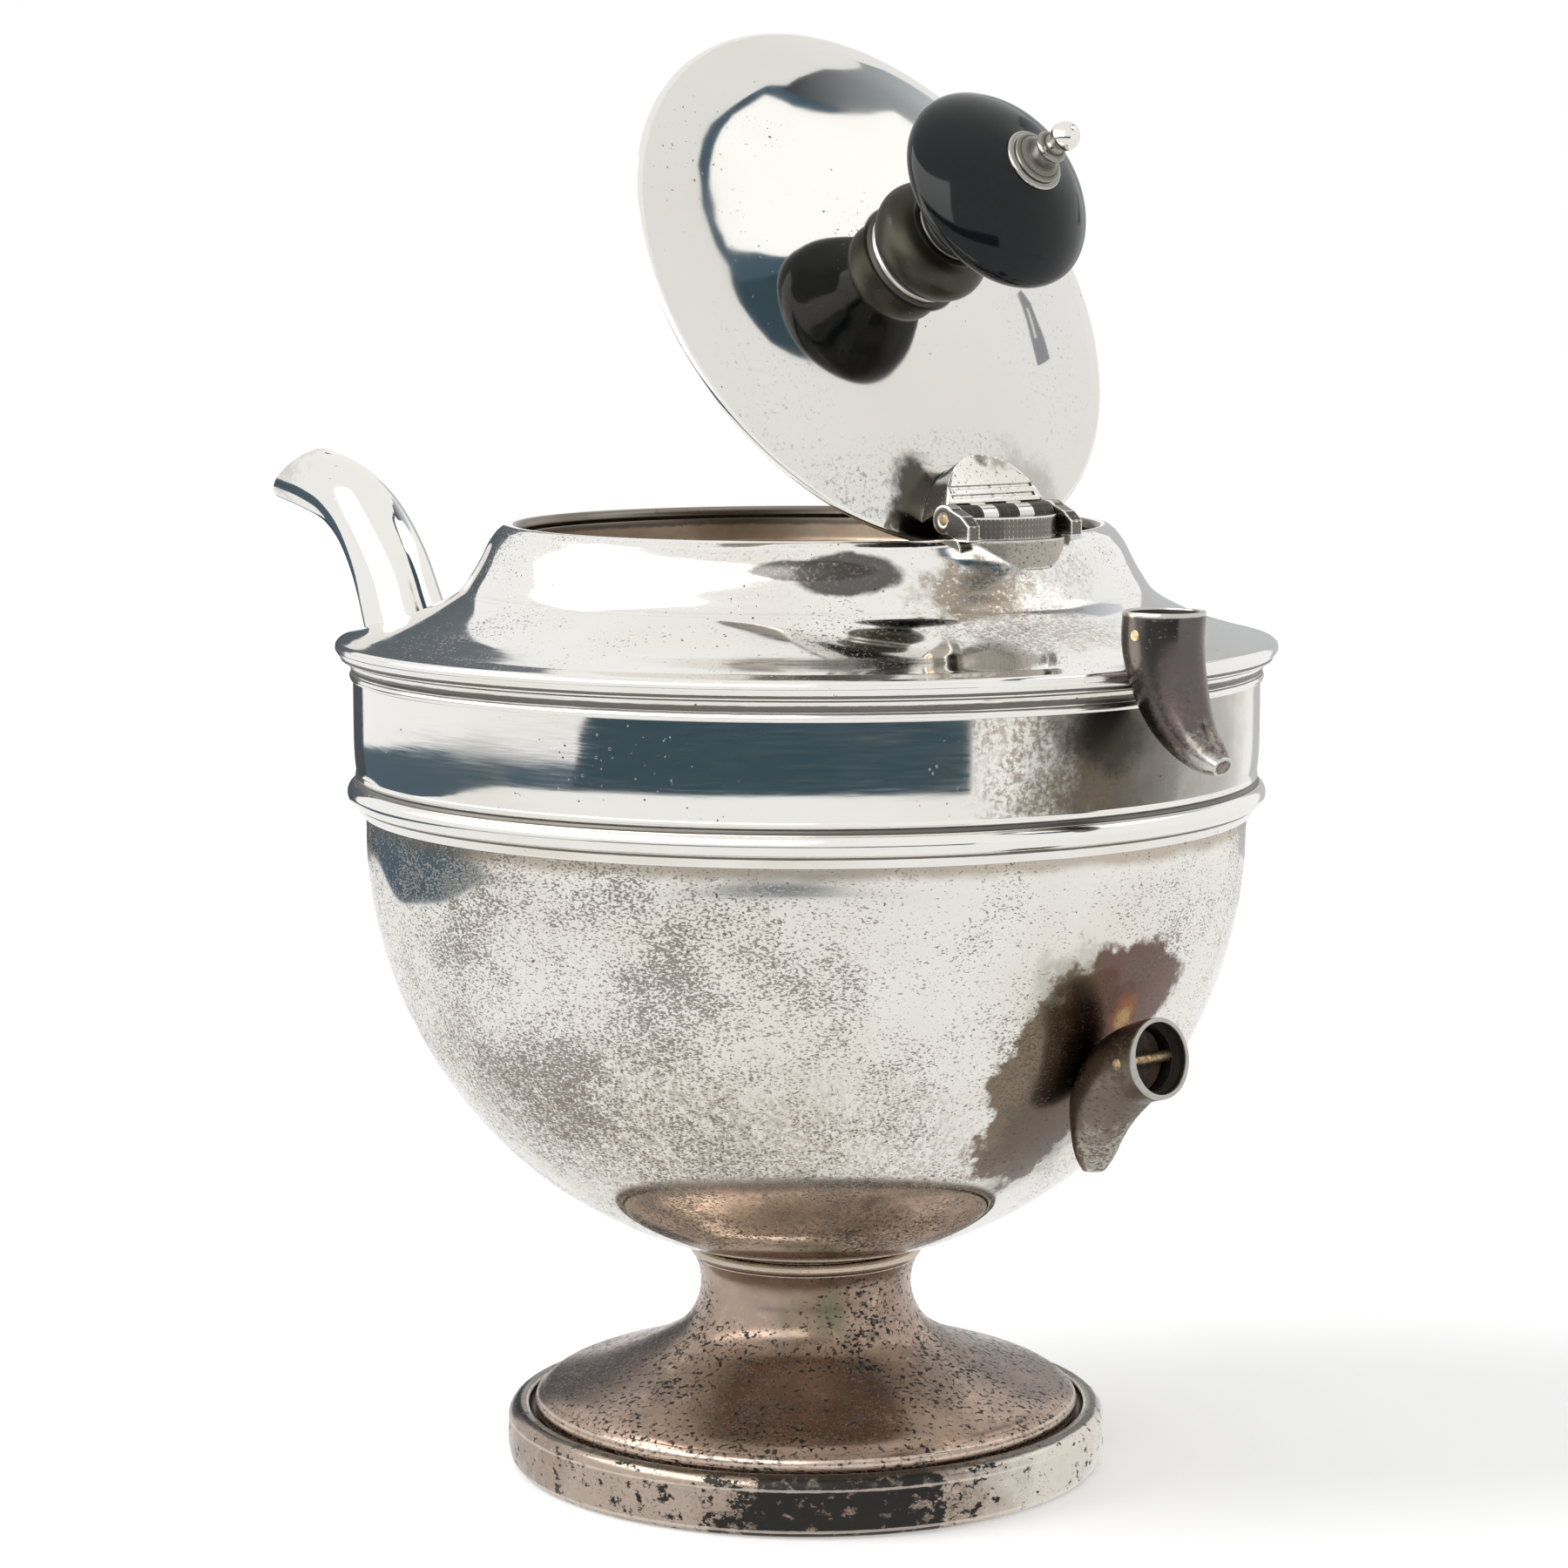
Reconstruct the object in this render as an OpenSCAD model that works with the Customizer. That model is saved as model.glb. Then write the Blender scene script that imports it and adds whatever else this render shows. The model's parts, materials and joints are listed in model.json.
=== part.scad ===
// Footed teapot with a hinged lid. The handle plane is X (handle sockets at +X, spout at -X).
// The origin is on the pot's axis, level with the face of the foot that rests on the table.

/* [Foot] */
// Widest radius of the foot ring
foot_r = 45.3; // [44.8:0.1:46]
// Height of the foot ring's rounded top edge
foot_rim_h = 9; // [8.6:0.1:9.4]
// Radius of the narrowest part of the stem
stem_r = 16; // [15:0.1:16.6]
// Height at which the stem meets the collar under the bowl
stem_h = 31.5; // [31.2:0.1:31.8]

/* [Bowl] */
// Outer radius of the hemispherical bowl
bowl_r = 65.7; // [65.5:0.1:65.9]
// Height of the hemisphere's centre
bowl_z = 97; // [96.8:0.1:97.2]
// Sheet thickness of the bowl and the band
wall = 1.1; // [0.8:0.1:1.3]
// Number of strainer holes in the bowl behind the spout
strainer_holes = 7; // [1:1:7]
// Radius of one strainer hole
strainer_r = 1.7; // [1:0.1:2]

/* [Band and flange] */
// Height of the seam between the bowl and the band
seam_z = 102.6; // [102.2:0.1:103]
// Outer radius of the band at its top
band_top_r = 67.5; // [67.3:0.1:67.6]
// Height of the top edge of the band
band_top_z = 121; // [120.8:0.1:121.2]
// Largest radius of the half-round girdle
girdle_r = 68.5; // [68.2:0.1:68.8]
// Radius of the flange, the widest circle of the pot
flange_r = 70.1; // [69.8:0.1:70.3]
// Height of the flange's top edge
flange_z = 124.9; // [124.8:0.1:125]

/* [Mouth and lid] */
// Radius of the mouth inside the rim
mouth_r = 42.9; // [42.8:0.1:43]
// Height of the rim's crest
crest_z = 142.4; // [142.2:0.1:142.6]
// Radius of the lid
lid_r = 42.2; // [41.8:0.1:42.4]
// Sheet thickness of the lid
lid_wall = 0.9; // [0.7:0.1:1]
// Height of the closed lid's edge
lid_z = 138.3; // [138.2:0.1:138.5]
// Rise of the lid from its edge to the flat under the knob
lid_rise = 9.2; // [8.8:0.1:9.6]
// Angle at which the lid stands open
open_angle = 61.3; // [0:0.1:96]

/* [Hinge] */
// Distance of the hinge pin from the pot's axis
hinge_x = 40.8; // [40.6:0.1:41]
// Height of the hinge pin
hinge_z = 145; // [144.9:0.1:145.2]
// Radius of the hinge pin
pin_r = 0.8; // [0.6:0.05:0.9]
// Radius of the knuckles
knuckle_r = 1.9; // [1.7:0.05:1.9]
// Length of one knuckle of the pot's half
body_knuckle = 3.8; // [3.6:0.1:3.8]
// Length of one knuckle of the lid's half
lid_knuckle = 2.9; // [2.7:0.1:2.9]
// Radius of the lid's half-round hinge plate
leaf_r = 9.8; // [9.4:0.1:9.8]

/* [Knob] */
// Radius of the metal bun under the knob
bun_r = 9.2; // [8.8:0.1:9.4]
// Largest radius of the knob
knob_r = 15.3; // [14.5:0.1:15.6]
// Radius of the threaded rod that holds the knob
rod_r = 1.5; // [1.3:0.1:1.6]

/* [Spout] */
// Thickness of the spout's wall
spout_wall = 0.9; // [0.7:0.1:1]

/* [Handle sockets] */
// Outer radius of a socket at its mouth
socket_r = 5.75; // [5.7:0.05:5.8]
// Radius of the straight bore in a socket's mouth
socket_bore_r = 5; // [4.9:0.05:5.05]
// Depth of the straight bore
socket_bore_h = 2.2; // [2:0.1:2.3]
// Radius of the pins that held the handle
handle_pin_r = 0.8; // [0.6:0.05:0.85]

/* [Hidden] */
$fn = 96;
eps = 0.01;
lip = 0.5;
crest_r = 1.4;
running_gap = 0.05;
knuckle_gap = 0.2;
leaf_clear = 0.35;
seam_r = 65.9;
ledge_r = 40.6;
ledge_z = 136.9;
ledge_wall = 1;
ring_wall = 1;
shoulder_wall = 1;
girdle_z0 = 99.6;
girdle_z1 = 106;
flange_z0 = 119.6;
foot_seat_z = 8;
foot_seat_r = 41.2;
foot_wall = 1;
collar_r = 17.6;
strainer_z = 84;
strainer_pitch = 5.4;
leaf_top_z = 145.3;
leaf_front_x = 47.2;
leaf_seam_z = 142.1;
cheek_y = 9.15;
cheek_w = 2.2;
seat_margin = 1.2;
socket_cavity_r = 4.5;
socket_cavity_h = 7;
handle_pin_depth = 3.1;
upper_mouth = [72.5, 133.6];
lower_mouth = [72.9, 71.5];
lower_tilt = 10;
bun_z = lid_z + lid_rise;
bun_h = 7.6;
neck_h = 3.4;
knob_z = bun_z + bun_h + neck_h;
knob_h = 15.6;
finial_z = knob_z + knob_h;
nut_z = bun_z - lid_wall - 0.8;
washer_h = 0.8;
nut_h = 2.4;

// Curves: an arc, a smooth curve through points, and a path moved inwards by a wall's thickness.
function arc(centre, r, from, to, steps = 8) =
    [for (i = [0:steps]) let (a = from + (to - from) * i / steps) centre + r * [cos(a), sin(a)]];
function spline_point(a, b, c, d, t) =
    0.5 * (2 * b + (c - a) * t + (2 * a - 5 * b + 4 * c - d) * t * t + (3 * b - a - 3 * c + d) * t * t * t);
function at(path, i) = path[max(0, min(len(path) - 1, i))];
function smooth(path, steps = 3) = concat(
    [for (i = [0:len(path) - 2]) for (j = [0:steps - 1])
        spline_point(at(path, i - 1), path[i], path[i + 1], at(path, i + 2), j / steps)],
    [path[len(path) - 1]]);
function unit(v) = v / norm(v);
function left_of(v) = [-v[1], v[0]];
function inset(path, t) =
    [for (i = [0:len(path) - 1]) path[i] + t * left_of(unit(at(path, i + 1) - at(path, i - 1)))];
function reversed(path) = [for (i = [len(path) - 1:-1:0]) path[i]];

module turned(path) rotate_extrude() polygon(path);
module shell(path, t) turned(concat(path, reversed(inset(path, t))));

// A closed skin over rings of equal length.
module skin(rings) {
    n = len(rings[0]);
    last = len(rings) - 1;
    polyhedron(
        points = [for (ring = rings) for (p = ring) p],
        faces = concat(
            [[for (i = [0:n - 1]) i]],
            [for (k = [0:last - 1]) for (i = [0:n - 1]) each [
                [k * n + i, (k + 1) * n + i, k * n + (i + 1) % n],
                [k * n + (i + 1) % n, (k + 1) * n + i, (k + 1) * n + (i + 1) % n]]],
            [[for (i = [n - 1:-1:0]) last * n + i]]));
}
// A ring in the X plane: centre (x, z), tilt of its in-plane radius, in-plane radius, radius along Y.
function ring(x, z, tilt, a, b, n = 24) =
    [for (i = [0:n - 1]) [x + a * cos(360 * i / n) * cos(tilt), b * sin(360 * i / n),
        z + a * cos(360 * i / n) * sin(tilt)]];

// Outlines shared by pieces that touch.
foot_path = concat(
    [[foot_seat_r, foot_seat_z], [foot_seat_r, 9.8], [40.7, 10.6]],
    smooth([[38.5, 12], [34.1, 13.5], [29.7, 15], [25.6, 16.6], [22.1, 18.3], [19.4, 20], [17.6, 22],
        [16.5, 24.3], [stem_r, 27], [16.3, 29.6], [17, stem_h - lip]], 2),
    [[17, stem_h]]);
shoulder_path = concat(
    [[flange_r, flange_z], [flange_r - 0.5, flange_z + 0.5]],
    smooth([[67, 126], [60.6, 127.9], [55.6, 130], [51.8, 132.3], [49.8, 135], [48.5, 137.2], [47.3, 139.6],
        [46, 141.4]], 2),
    arc([mouth_r + crest_r, crest_z - crest_r], crest_r, 60, 180, 6),
    [[mouth_r, crest_z - crest_r - lip]]);

module foot_rim() color("rosybrown")
    turned(concat([[foot_seat_r, 0], [foot_r - 1.4, 0], [foot_r - 0.4, 1], [foot_r, 3]],
        arc([foot_r - 2.2, foot_rim_h - 2.2], 2.2, 15, 110, 6),
        [[foot_seat_r + 0.5, foot_seat_z], [foot_seat_r - 1.3, foot_seat_z], [foot_seat_r - 1.3, 6.8]]));

module foot_dome() color("rosybrown") shell(foot_path, foot_wall);

// Height of the bowl's underside at a distance r from the axis.
function bowl_bottom(r) = bowl_z - sqrt(bowl_r * bowl_r - r * r);
module neck_collar() color("tan")
    turned(concat([[collar_r - 2.2, stem_h], [collar_r - 0.6, stem_h]],
        arc([collar_r - 0.9, stem_h + 1.1], 0.9, -60, 60, 6),
        [for (r = [collar_r - 0.6, collar_r - 1.4, collar_r - 2.2]) [r, bowl_bottom(r)]]));

module strainer() {
    for (i = [0:strainer_holes - 1]) {
        ring_i = i == 0 ? 0 : 1;
        offset_y = ring_i * strainer_pitch * cos(60 * i);
        offset_z = ring_i * strainer_pitch * sin(60 * i);
        translate([-bowl_r, offset_y, strainer_z + offset_z])
            rotate([0, 90, 0]) cylinder(r = strainer_r, h = 16, $fn = 32);
    }
}
module bowl() color("gainsboro") difference() {
    union() {
        translate([0, 0, bowl_z]) sphere(r = bowl_r);
        translate([0, 0, bowl_z]) cylinder(r1 = bowl_r, r2 = seam_r, h = seam_z - bowl_z);
    }
    translate([0, 0, bowl_z]) sphere(r = bowl_r - wall);
    translate([0, 0, bowl_z]) cylinder(r1 = bowl_r - wall, r2 = seam_r - wall, h = seam_z - bowl_z + eps);
    translate([0, 0, seam_z]) cylinder(r = 2 * bowl_r, h = 2 * bowl_r);
    strainer();
}

function band_r(z) = seam_r + (band_top_r - seam_r) * (z - seam_z) / (band_top_z - seam_z);
function bowl_neck_r(z) = bowl_r + (seam_r - bowl_r) * (z - bowl_z) / (seam_z - bowl_z);
module band() color("silver")
    turned([[seam_r, seam_z], [band_top_r, band_top_z], [band_top_r - wall, band_top_z],
        [seam_r - wall, seam_z]]);

module girdle_moulding() color("whitesmoke")
    turned(concat([[bowl_neck_r(girdle_z0), girdle_z0], [bowl_neck_r(girdle_z0) + 0.6, girdle_z0 + 0.2]],
        arc([girdle_r - 1.7, 102.9], 1.7, -75, 70, 10),
        [[67, 104.9], [67.1, 105.5], [band_r(girdle_z1) + 0.3, girdle_z1], [band_r(girdle_z1), girdle_z1],
        [seam_r, seam_z]]));

module flange_moulding() color("gainsboro")
    turned(concat([[band_r(flange_z0), flange_z0], [67.9, 119.9], [68, 120.4]],
        smooth([[67.8, 120.7], [67.9, 121.6], [68.7, 122.6]], 3),
        [[69.3, 122.9], [69.3, 123.3], [flange_r - 0.3, 123.8], [flange_r, 124.2], [flange_r, flange_z],
        [band_top_r - wall, flange_z], [band_top_r - wall, band_top_z], [band_top_r, band_top_z]]));

module shoulder() color("whitesmoke") intersection() {
    shell(shoulder_path, shoulder_wall);
    translate([0, 0, flange_z]) cylinder(r = 2 * bowl_r, h = 40);
}

module mouth_ring() color("tan")
    turned([[ledge_r, ledge_z - ledge_wall], [mouth_r + ring_wall, ledge_z - ledge_wall],
        [mouth_r + ring_wall, crest_z - crest_r - lip], [mouth_r, crest_z - crest_r - lip],
        [mouth_r, ledge_z], [ledge_r, ledge_z]]);

// Everything inside the outline of the flange and the shoulder: what stands on them is cut by it.
module pot_top_solid()
    turned(concat([[0, 100], [band_r(100), 100], [band_r(flange_z0), flange_z0], [68, 120.4], [67.8, 120.7],
        [68.7, 122.6], [69.3, 123], [flange_r - 0.3, 123.8]], shoulder_path, [[mouth_r, 100.5], [0, 100.5]]));

// Spout: rings from the root on the bowl to the cut mouth.
function spout_rings(t) = [
    ring(-56, 82, 84, 12.5 - t, 12.5 - t),
    ring(-66, 84, 74, 12 - t, 11.5 - t),
    ring(-75, 87.5, 62, 11 - t, 10.2 - t),
    ring(-82.5, 92.5, 50, 9.9 - t, 9.2 - t),
    ring(-88.5, 99, 36, 9 - t, 8.6 - t),
    ring(-92.8, 107, 26, 8.2 - t, 8.1 - t),
    ring(-96, 115, 23, 7.5 - t, 7.5 - t),
    ring(-99.6, 123.2, 25, 6.9 - t, 6.9 - t),
    ring(-103.4, 131, 32, 6.5 - t, 6.5 - t),
    ring(-108.3, 137.2, 45, 6.1 - t, 6.1 - t),
    ring(-114, 141.2, 57, 5.8 - t, 5.8 - t),
    ring(-119.5, 143.2, 59, 5.8 - t, 5.6 - t),
    ring(-124, 144.2, 50, 6.1 - t, 5.5 - t),
    ring(-127, 144.9, 40, 6.9 - t, 5.4 - t)];
module spout() color("whitesmoke") difference() {
    skin(spout_rings(0));
    skin(concat([ring(-53, 81.7, 84, 11, 11)], spout_rings(spout_wall), [ring(-129, 145.6, 38, 6.4, 4.6)]));
    translate([0, 0, bowl_z]) sphere(r = bowl_r);
}

// Socket: a curved horn, bored at its wide end.
module socket_bores() {
    translate([0, 0, -socket_bore_h]) cylinder(r = socket_bore_r, h = socket_bore_h + 2);
    translate([0, 0, -socket_cavity_h]) cylinder(r = socket_cavity_r, h = socket_cavity_h);
    translate([0, 0, -handle_pin_depth]) rotate([90, 0, 0])
        cylinder(r = handle_pin_r, h = 3 * socket_r, center = true, $fn = 32);
}
module upper_socket() color("dimgray") difference() {
    skin(reversed([
        ring(72.5, 133.6, 0, socket_r, socket_r),
        ring(72.4, 129.2, 5, 5.7, 5.7),
        ring(73.4, 124.4, 17, 5.3, 5.3),
        ring(75.5, 119.7, 32, 4.5, 4.6),
        ring(78.3, 116.2, 46, 3.4, 3.7),
        ring(81.4, 114, 58, 2.4, 2.8),
        ring(83.6, 113, 66, 1.4, 1.8)]));
    translate([upper_mouth[0], 0, upper_mouth[1]]) socket_bores();
    pot_top_solid();
}
module lower_socket() color("dimgray") difference() {
    skin([
        ring(72.9, 71.5, 90 + lower_tilt, socket_r, socket_r),
        ring(68.2, 69.9, 108, 5.7, 5.7),
        ring(64.6, 67.1, 130, 5.5, 5.5),
        ring(61.8, 63, 150, 4.8, 4.8),
        ring(60.7, 59.2, 165, 3.7, 3.9),
        ring(60.3, 56, 174, 2.7, 3),
        ring(60.2, 53.8, 178, 1.5, 1.8)]);
    translate([lower_mouth[0], 0, lower_mouth[1]]) rotate([0, 90 - lower_tilt, 0]) socket_bores();
    translate([0, 0, bowl_z]) sphere(r = bowl_r);
}
module handle_pin() rotate([90, 0, 0])
    cylinder(r = handle_pin_r, h = 2 * socket_r + 0.3, center = true, $fn = 32);
module upper_socket_pin() color("gold")
    translate([upper_mouth[0], 0, upper_mouth[1] - handle_pin_depth]) handle_pin();
module lower_socket_pin() color("gold") translate([lower_mouth[0], 0, lower_mouth[1]])
    rotate([0, 90 - lower_tilt, 0]) translate([0, 0, -handle_pin_depth]) handle_pin();
// Stub of the wooden handle, broken off behind the pin.
module tenon_remnant() color("saddlebrown") translate([lower_mouth[0], 0, lower_mouth[1]])
    rotate([0, 90 - lower_tilt, 0]) translate([0, 0, -socket_cavity_h])
    cylinder(r = socket_cavity_r - 0.1, h = socket_cavity_h - handle_pin_depth - handle_pin_r - 0.3);

// Hinge: knuckles alternate along Y, the pot's three and the lid's two.
knuckle_pitch = (body_knuckle + lid_knuckle) / 2 + knuckle_gap;
module knuckles(centres, length, bore) for (y = centres)
    translate([hinge_x, y, hinge_z]) rotate([90, 0, 0]) difference() {
        cylinder(r = knuckle_r, h = length, center = true, $fn = 48);
        cylinder(r = bore, h = length + 1, center = true, $fn = 48);
    }
module leaf_outline(x0, grow) intersection() {
    translate([leaf_front_x - 11.7, 0]) circle(r = 11.7 + grow);
    translate([x0, -cheek_y - cheek_w - grow]) square([12, 2 * (cheek_y + cheek_w + grow)]);
}
module cheek(side) translate([0, side * (cheek_y + cheek_w / 2), 0]) difference() {
    rotate([90, 0, 0]) linear_extrude(cheek_w, center = true) union() {
        translate([hinge_x, hinge_z]) circle(r = knuckle_r + 0.2, $fn = 48);
        polygon([[hinge_x, hinge_z - 1.6], [43.6, leaf_seam_z], [45.9, leaf_seam_z], [45.9, 144.3],
            [44.4, 145.6], [hinge_x, hinge_z + knuckle_r + 0.2]]);
    }
    translate([hinge_x, 0, hinge_z]) rotate([90, 0, 0]) cylinder(r = pin_r, h = 12, center = true, $fn = 48);
}
module hinge_seat() color("lightgray") difference() {
    translate([0, 0, 138]) linear_extrude(leaf_seam_z - 138) leaf_outline(43.6, seat_margin);
    pot_top_solid();
}
module hinge_body_leaf() color("gainsboro") {
    difference() {
        translate([0, 0, leaf_seam_z]) linear_extrude(leaf_top_z - leaf_seam_z)
            intersection() {
                leaf_outline(hinge_x + knuckle_r + leaf_clear, 0);
                square([200, 2 * cheek_y], center = true);
            }
        pot_top_solid();
    }
    for (side = [-1, 1]) cheek(side);
}
module hinge_body_knuckles() color("gray") {
    knuckles([-2 * knuckle_pitch, 0, 2 * knuckle_pitch], body_knuckle, pin_r);
    for (y = [-2 * knuckle_pitch, 0, 2 * knuckle_pitch])
        translate([hinge_x + knuckle_r - 0.2, y - body_knuckle / 2, hinge_z - 0.9])
            cube([leaf_clear + 0.2, body_knuckle, 1]);
}
module hinge_pin() color("gold") translate([hinge_x, 0, hinge_z]) rotate([90, 0, 0])
    cylinder(r = pin_r, h = 2 * (cheek_y + cheek_w), center = true, $fn = 48);

// The lid and all it carries are placed closed, then swung about the hinge pin.
module swung() translate([hinge_x, 0, hinge_z]) rotate([0, open_angle, 0]) translate([-hinge_x, 0, -hinge_z])
    children();
lid_path = concat([[lid_r, lid_z - 0.5], [lid_r - 0.3, lid_z]],
    smooth([[38.6, lid_z + 1.5], [33, lid_z + 3.2], [26, lid_z + 4.7], [19, lid_z + 5.9], [13, lid_z + 7.2],
        [9.6, lid_z + 8.4], [8.2, bun_z]], 2), [[rod_r + 0.1, bun_z]]);
module lid() color("whitesmoke") swung() intersection() {
    shell(lid_path, lid_wall);
    difference() {
        translate([0, 0, lid_z - 3]) cylinder(r = lid_r, h = 30);
        translate([0, 0, lid_z - 4]) cylinder(r = rod_r + 0.1, h = 32, $fn = 48);
    }
}
module lid_solid() turned(concat([[0, 100], [lid_r, 100]], lid_path, [[0, bun_z]]));

module hinge_lid_leaf() color("whitesmoke") swung() difference() {
    intersection() {
        translate([hinge_x, 0, lid_z]) cylinder(r = leaf_r, h = leaf_top_z - lid_z);
        translate([0, -50, 0]) cube([hinge_x - knuckle_r - leaf_clear, 100, 200]);
    }
    lid_solid();
    for (s = [3.3, 4.7]) translate([hinge_x - s, 0, leaf_top_z])
        cube([0.5, 2 * leaf_r - 3, 0.5], center = true);
}
module hinge_lid_knuckles() color("whitesmoke") swung() {
    knuckles([-knuckle_pitch, knuckle_pitch], lid_knuckle, pin_r + running_gap);
    for (y = [-knuckle_pitch, knuckle_pitch])
        translate([hinge_x - knuckle_r - leaf_clear, y - lid_knuckle / 2, hinge_z - 0.9])
            cube([leaf_clear + 0.2, lid_knuckle, 1]);
}

module knob_base() color("darkolivegreen") swung()
    turned(concat([[rod_r + 0.1, bun_z], [7.4, bun_z]],
        smooth([[7.6, bun_z + 0.2], [8.5, bun_z + 1.3], [9.1, bun_z + 2.7], [bun_r, bun_z + 4], [8.8, bun_z + 5.4],
            [7.7, bun_z + 6.7], [6.2, bun_z + bun_h]], 2),
        [[rod_r + 0.1, bun_z + bun_h]]));
module knob_collar() color("darkkhaki") swung()
    turned([[rod_r + 0.1, bun_z + bun_h], [5.4, bun_z + bun_h], [5.5, bun_z + bun_h + 0.7],
        [4.8, bun_z + bun_h + 1], [4.9, bun_z + bun_h + 1.6], [4.3, bun_z + bun_h + 2],
        [4.5, knob_z], [rod_r + 0.1, knob_z]]);
module knob() color("black") swung()
    turned(concat([[rod_r + 0.1, knob_z], [5.2, knob_z]],
        smooth([[7.5, knob_z + 1.7], [11, knob_z + 3.6], [14.2, knob_z + 5.4], [knob_r, knob_z + 7.3],
            [14.8, knob_z + 9.2], [12.6, knob_z + 11.6], [9.2, knob_z + 13.8], [5.4, knob_z + 15.3],
            [4.6, knob_z + knob_h]], 2),
        [[rod_r + 0.1, knob_z + knob_h]]));
module finial_washer() color("silver") swung()
    turned([[rod_r + 0.1, finial_z], [4.65, finial_z], [4.65, finial_z + 0.5], [4.2, finial_z + 0.8],
        [rod_r + 0.1, finial_z + 0.8]]);
module finial() color("silver") swung() {
    turned(concat([[0, nut_z - nut_h - 1], [rod_r, nut_z - nut_h - 1], [rod_r, finial_z + 0.8],
        [3.9, finial_z + 0.8], [3.9, finial_z + 1.3]],
        smooth([[3, finial_z + 1.7], [2, finial_z + 2.6], [1.8, finial_z + 3.4]], 2),
        [[2.4, finial_z + 3.8], [2.4, finial_z + 4.3], [1.6, finial_z + 4.7], [1.2, finial_z + 5.2]],
        arc([0, finial_z + 7.1], 2.05, -55, 90, 8)));
}
module nut_washer() color("silver") swung() translate([0, 0, nut_z]) difference() {
    cylinder(r = 4.6, h = washer_h);
    translate([0, 0, -1]) cylinder(r = rod_r + 0.1, h = 4, $fn = 48);
}
module knob_nut() color("goldenrod") swung() translate([0, 0, nut_z - nut_h]) difference() {
    cylinder(r = 3.2, h = nut_h, $fn = 6);
    translate([0, 0, -1]) cylinder(r = rod_r, h = nut_h + 2, $fn = 48);
}

foot_rim();
foot_dome();
neck_collar();
bowl();
girdle_moulding();
band();
flange_moulding();
shoulder();
mouth_ring();
spout();
upper_socket();
lower_socket();
upper_socket_pin();
lower_socket_pin();
tenon_remnant();
hinge_seat();
hinge_body_leaf();
hinge_body_knuckles();
hinge_pin();
hinge_lid_leaf();
hinge_lid_knuckles();
lid();
knob_base();
knob_collar();
knob();
finial_washer();
finial();
nut_washer();
knob_nut();
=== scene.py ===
import json
import math
from contextlib import contextmanager

import bmesh
import bpy
import numpy as np
from mathutils import Matrix, Vector, noise


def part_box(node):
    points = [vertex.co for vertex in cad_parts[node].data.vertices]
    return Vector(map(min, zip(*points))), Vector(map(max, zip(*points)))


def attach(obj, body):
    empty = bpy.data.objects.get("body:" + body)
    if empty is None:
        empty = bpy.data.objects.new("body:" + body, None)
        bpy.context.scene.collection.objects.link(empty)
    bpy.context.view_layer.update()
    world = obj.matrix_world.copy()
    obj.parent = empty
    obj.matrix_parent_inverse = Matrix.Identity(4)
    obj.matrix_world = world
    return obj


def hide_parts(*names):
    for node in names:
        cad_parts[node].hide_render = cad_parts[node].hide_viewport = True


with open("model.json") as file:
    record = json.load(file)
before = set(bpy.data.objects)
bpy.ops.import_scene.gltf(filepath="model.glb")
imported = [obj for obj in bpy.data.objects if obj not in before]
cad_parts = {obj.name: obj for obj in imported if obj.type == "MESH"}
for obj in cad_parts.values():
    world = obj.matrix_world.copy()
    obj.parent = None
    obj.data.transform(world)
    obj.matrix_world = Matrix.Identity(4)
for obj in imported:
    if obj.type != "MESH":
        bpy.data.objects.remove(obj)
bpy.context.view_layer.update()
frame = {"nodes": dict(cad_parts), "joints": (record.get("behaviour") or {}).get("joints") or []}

MM = 0.001
# Points closer than this are merged, in metres. Longer edges than SPLIT_EDGE are split, in millimetres.
MERGE = 2e-6
SPLIT_EDGE = 0.7
CORNER_ANGLE = math.radians(35)
HINGE = Vector(frame["joints"][0]["pos_m"])
# The lid stands open by this angle. Its pieces are shaped closed, then swung to their place.
OPEN_ANGLE = math.radians(61.3)
SWING = Matrix.Translation(HINGE) @ Matrix.Rotation(OPEN_ANGLE, 4, "Y") @ Matrix.Translation(-HINGE)
# Between the handle's plane and the camera's
HANDLE_ANGLE = math.radians(42.4)


def outer_radius(node):
    """Greatest distance of a turned node from the pot's axis, in millimetres."""
    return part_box(node)[1].y / MM


def link(obj):
    bpy.context.scene.collection.objects.link(obj)


@contextmanager
def editing(mesh):
    work = bmesh.new()
    work.from_mesh(mesh)
    yield work
    work.to_mesh(mesh)
    work.free()


# ---------------------------------------------------------------- camera, fitted to the photo's outline
CAMERA_DISTANCE = 0.63775
CAMERA_HEIGHT = 0.18172
PITCH = math.radians(7.029)
YAW = math.radians(0.3006)
LENS = 98.34

toward = Vector((math.cos(HANDLE_ANGLE), -math.sin(HANDLE_ANGLE), 0))
look = Matrix.Rotation(YAW, 3, "Z") @ -toward
look = Vector((look.x * math.cos(PITCH), look.y * math.cos(PITCH), -math.sin(PITCH)))
camera = bpy.data.objects.new("camera", bpy.data.cameras.new("camera"))
camera.data.lens = LENS
camera.data.clip_start = 0.01
camera.location = toward * CAMERA_DISTANCE + Vector((0, 0, CAMERA_HEIGHT))
camera.rotation_euler = look.to_track_quat("-Z", "Y").to_euler()
link(camera)
bpy.context.scene.camera = camera


# ---------------------------------------------------------------- curves, in millimetres
def spline(points, steps=6):
    """A smooth curve through the points."""
    points = [np.array(p, float) for p in points]
    out = []
    for i in range(len(points) - 1):
        a, b = points[max(i - 1, 0)], points[i]
        c, d = points[i + 1], points[min(i + 2, len(points) - 1)]
        for j in range(steps):
            t = j / steps
            out.append(0.5 * (2 * b + (c - a) * t + (2 * a - 5 * b + 4 * c - d) * t * t
                              + (3 * b - a - 3 * c + d) * t ** 3))
    return out + [points[-1]]


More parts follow.
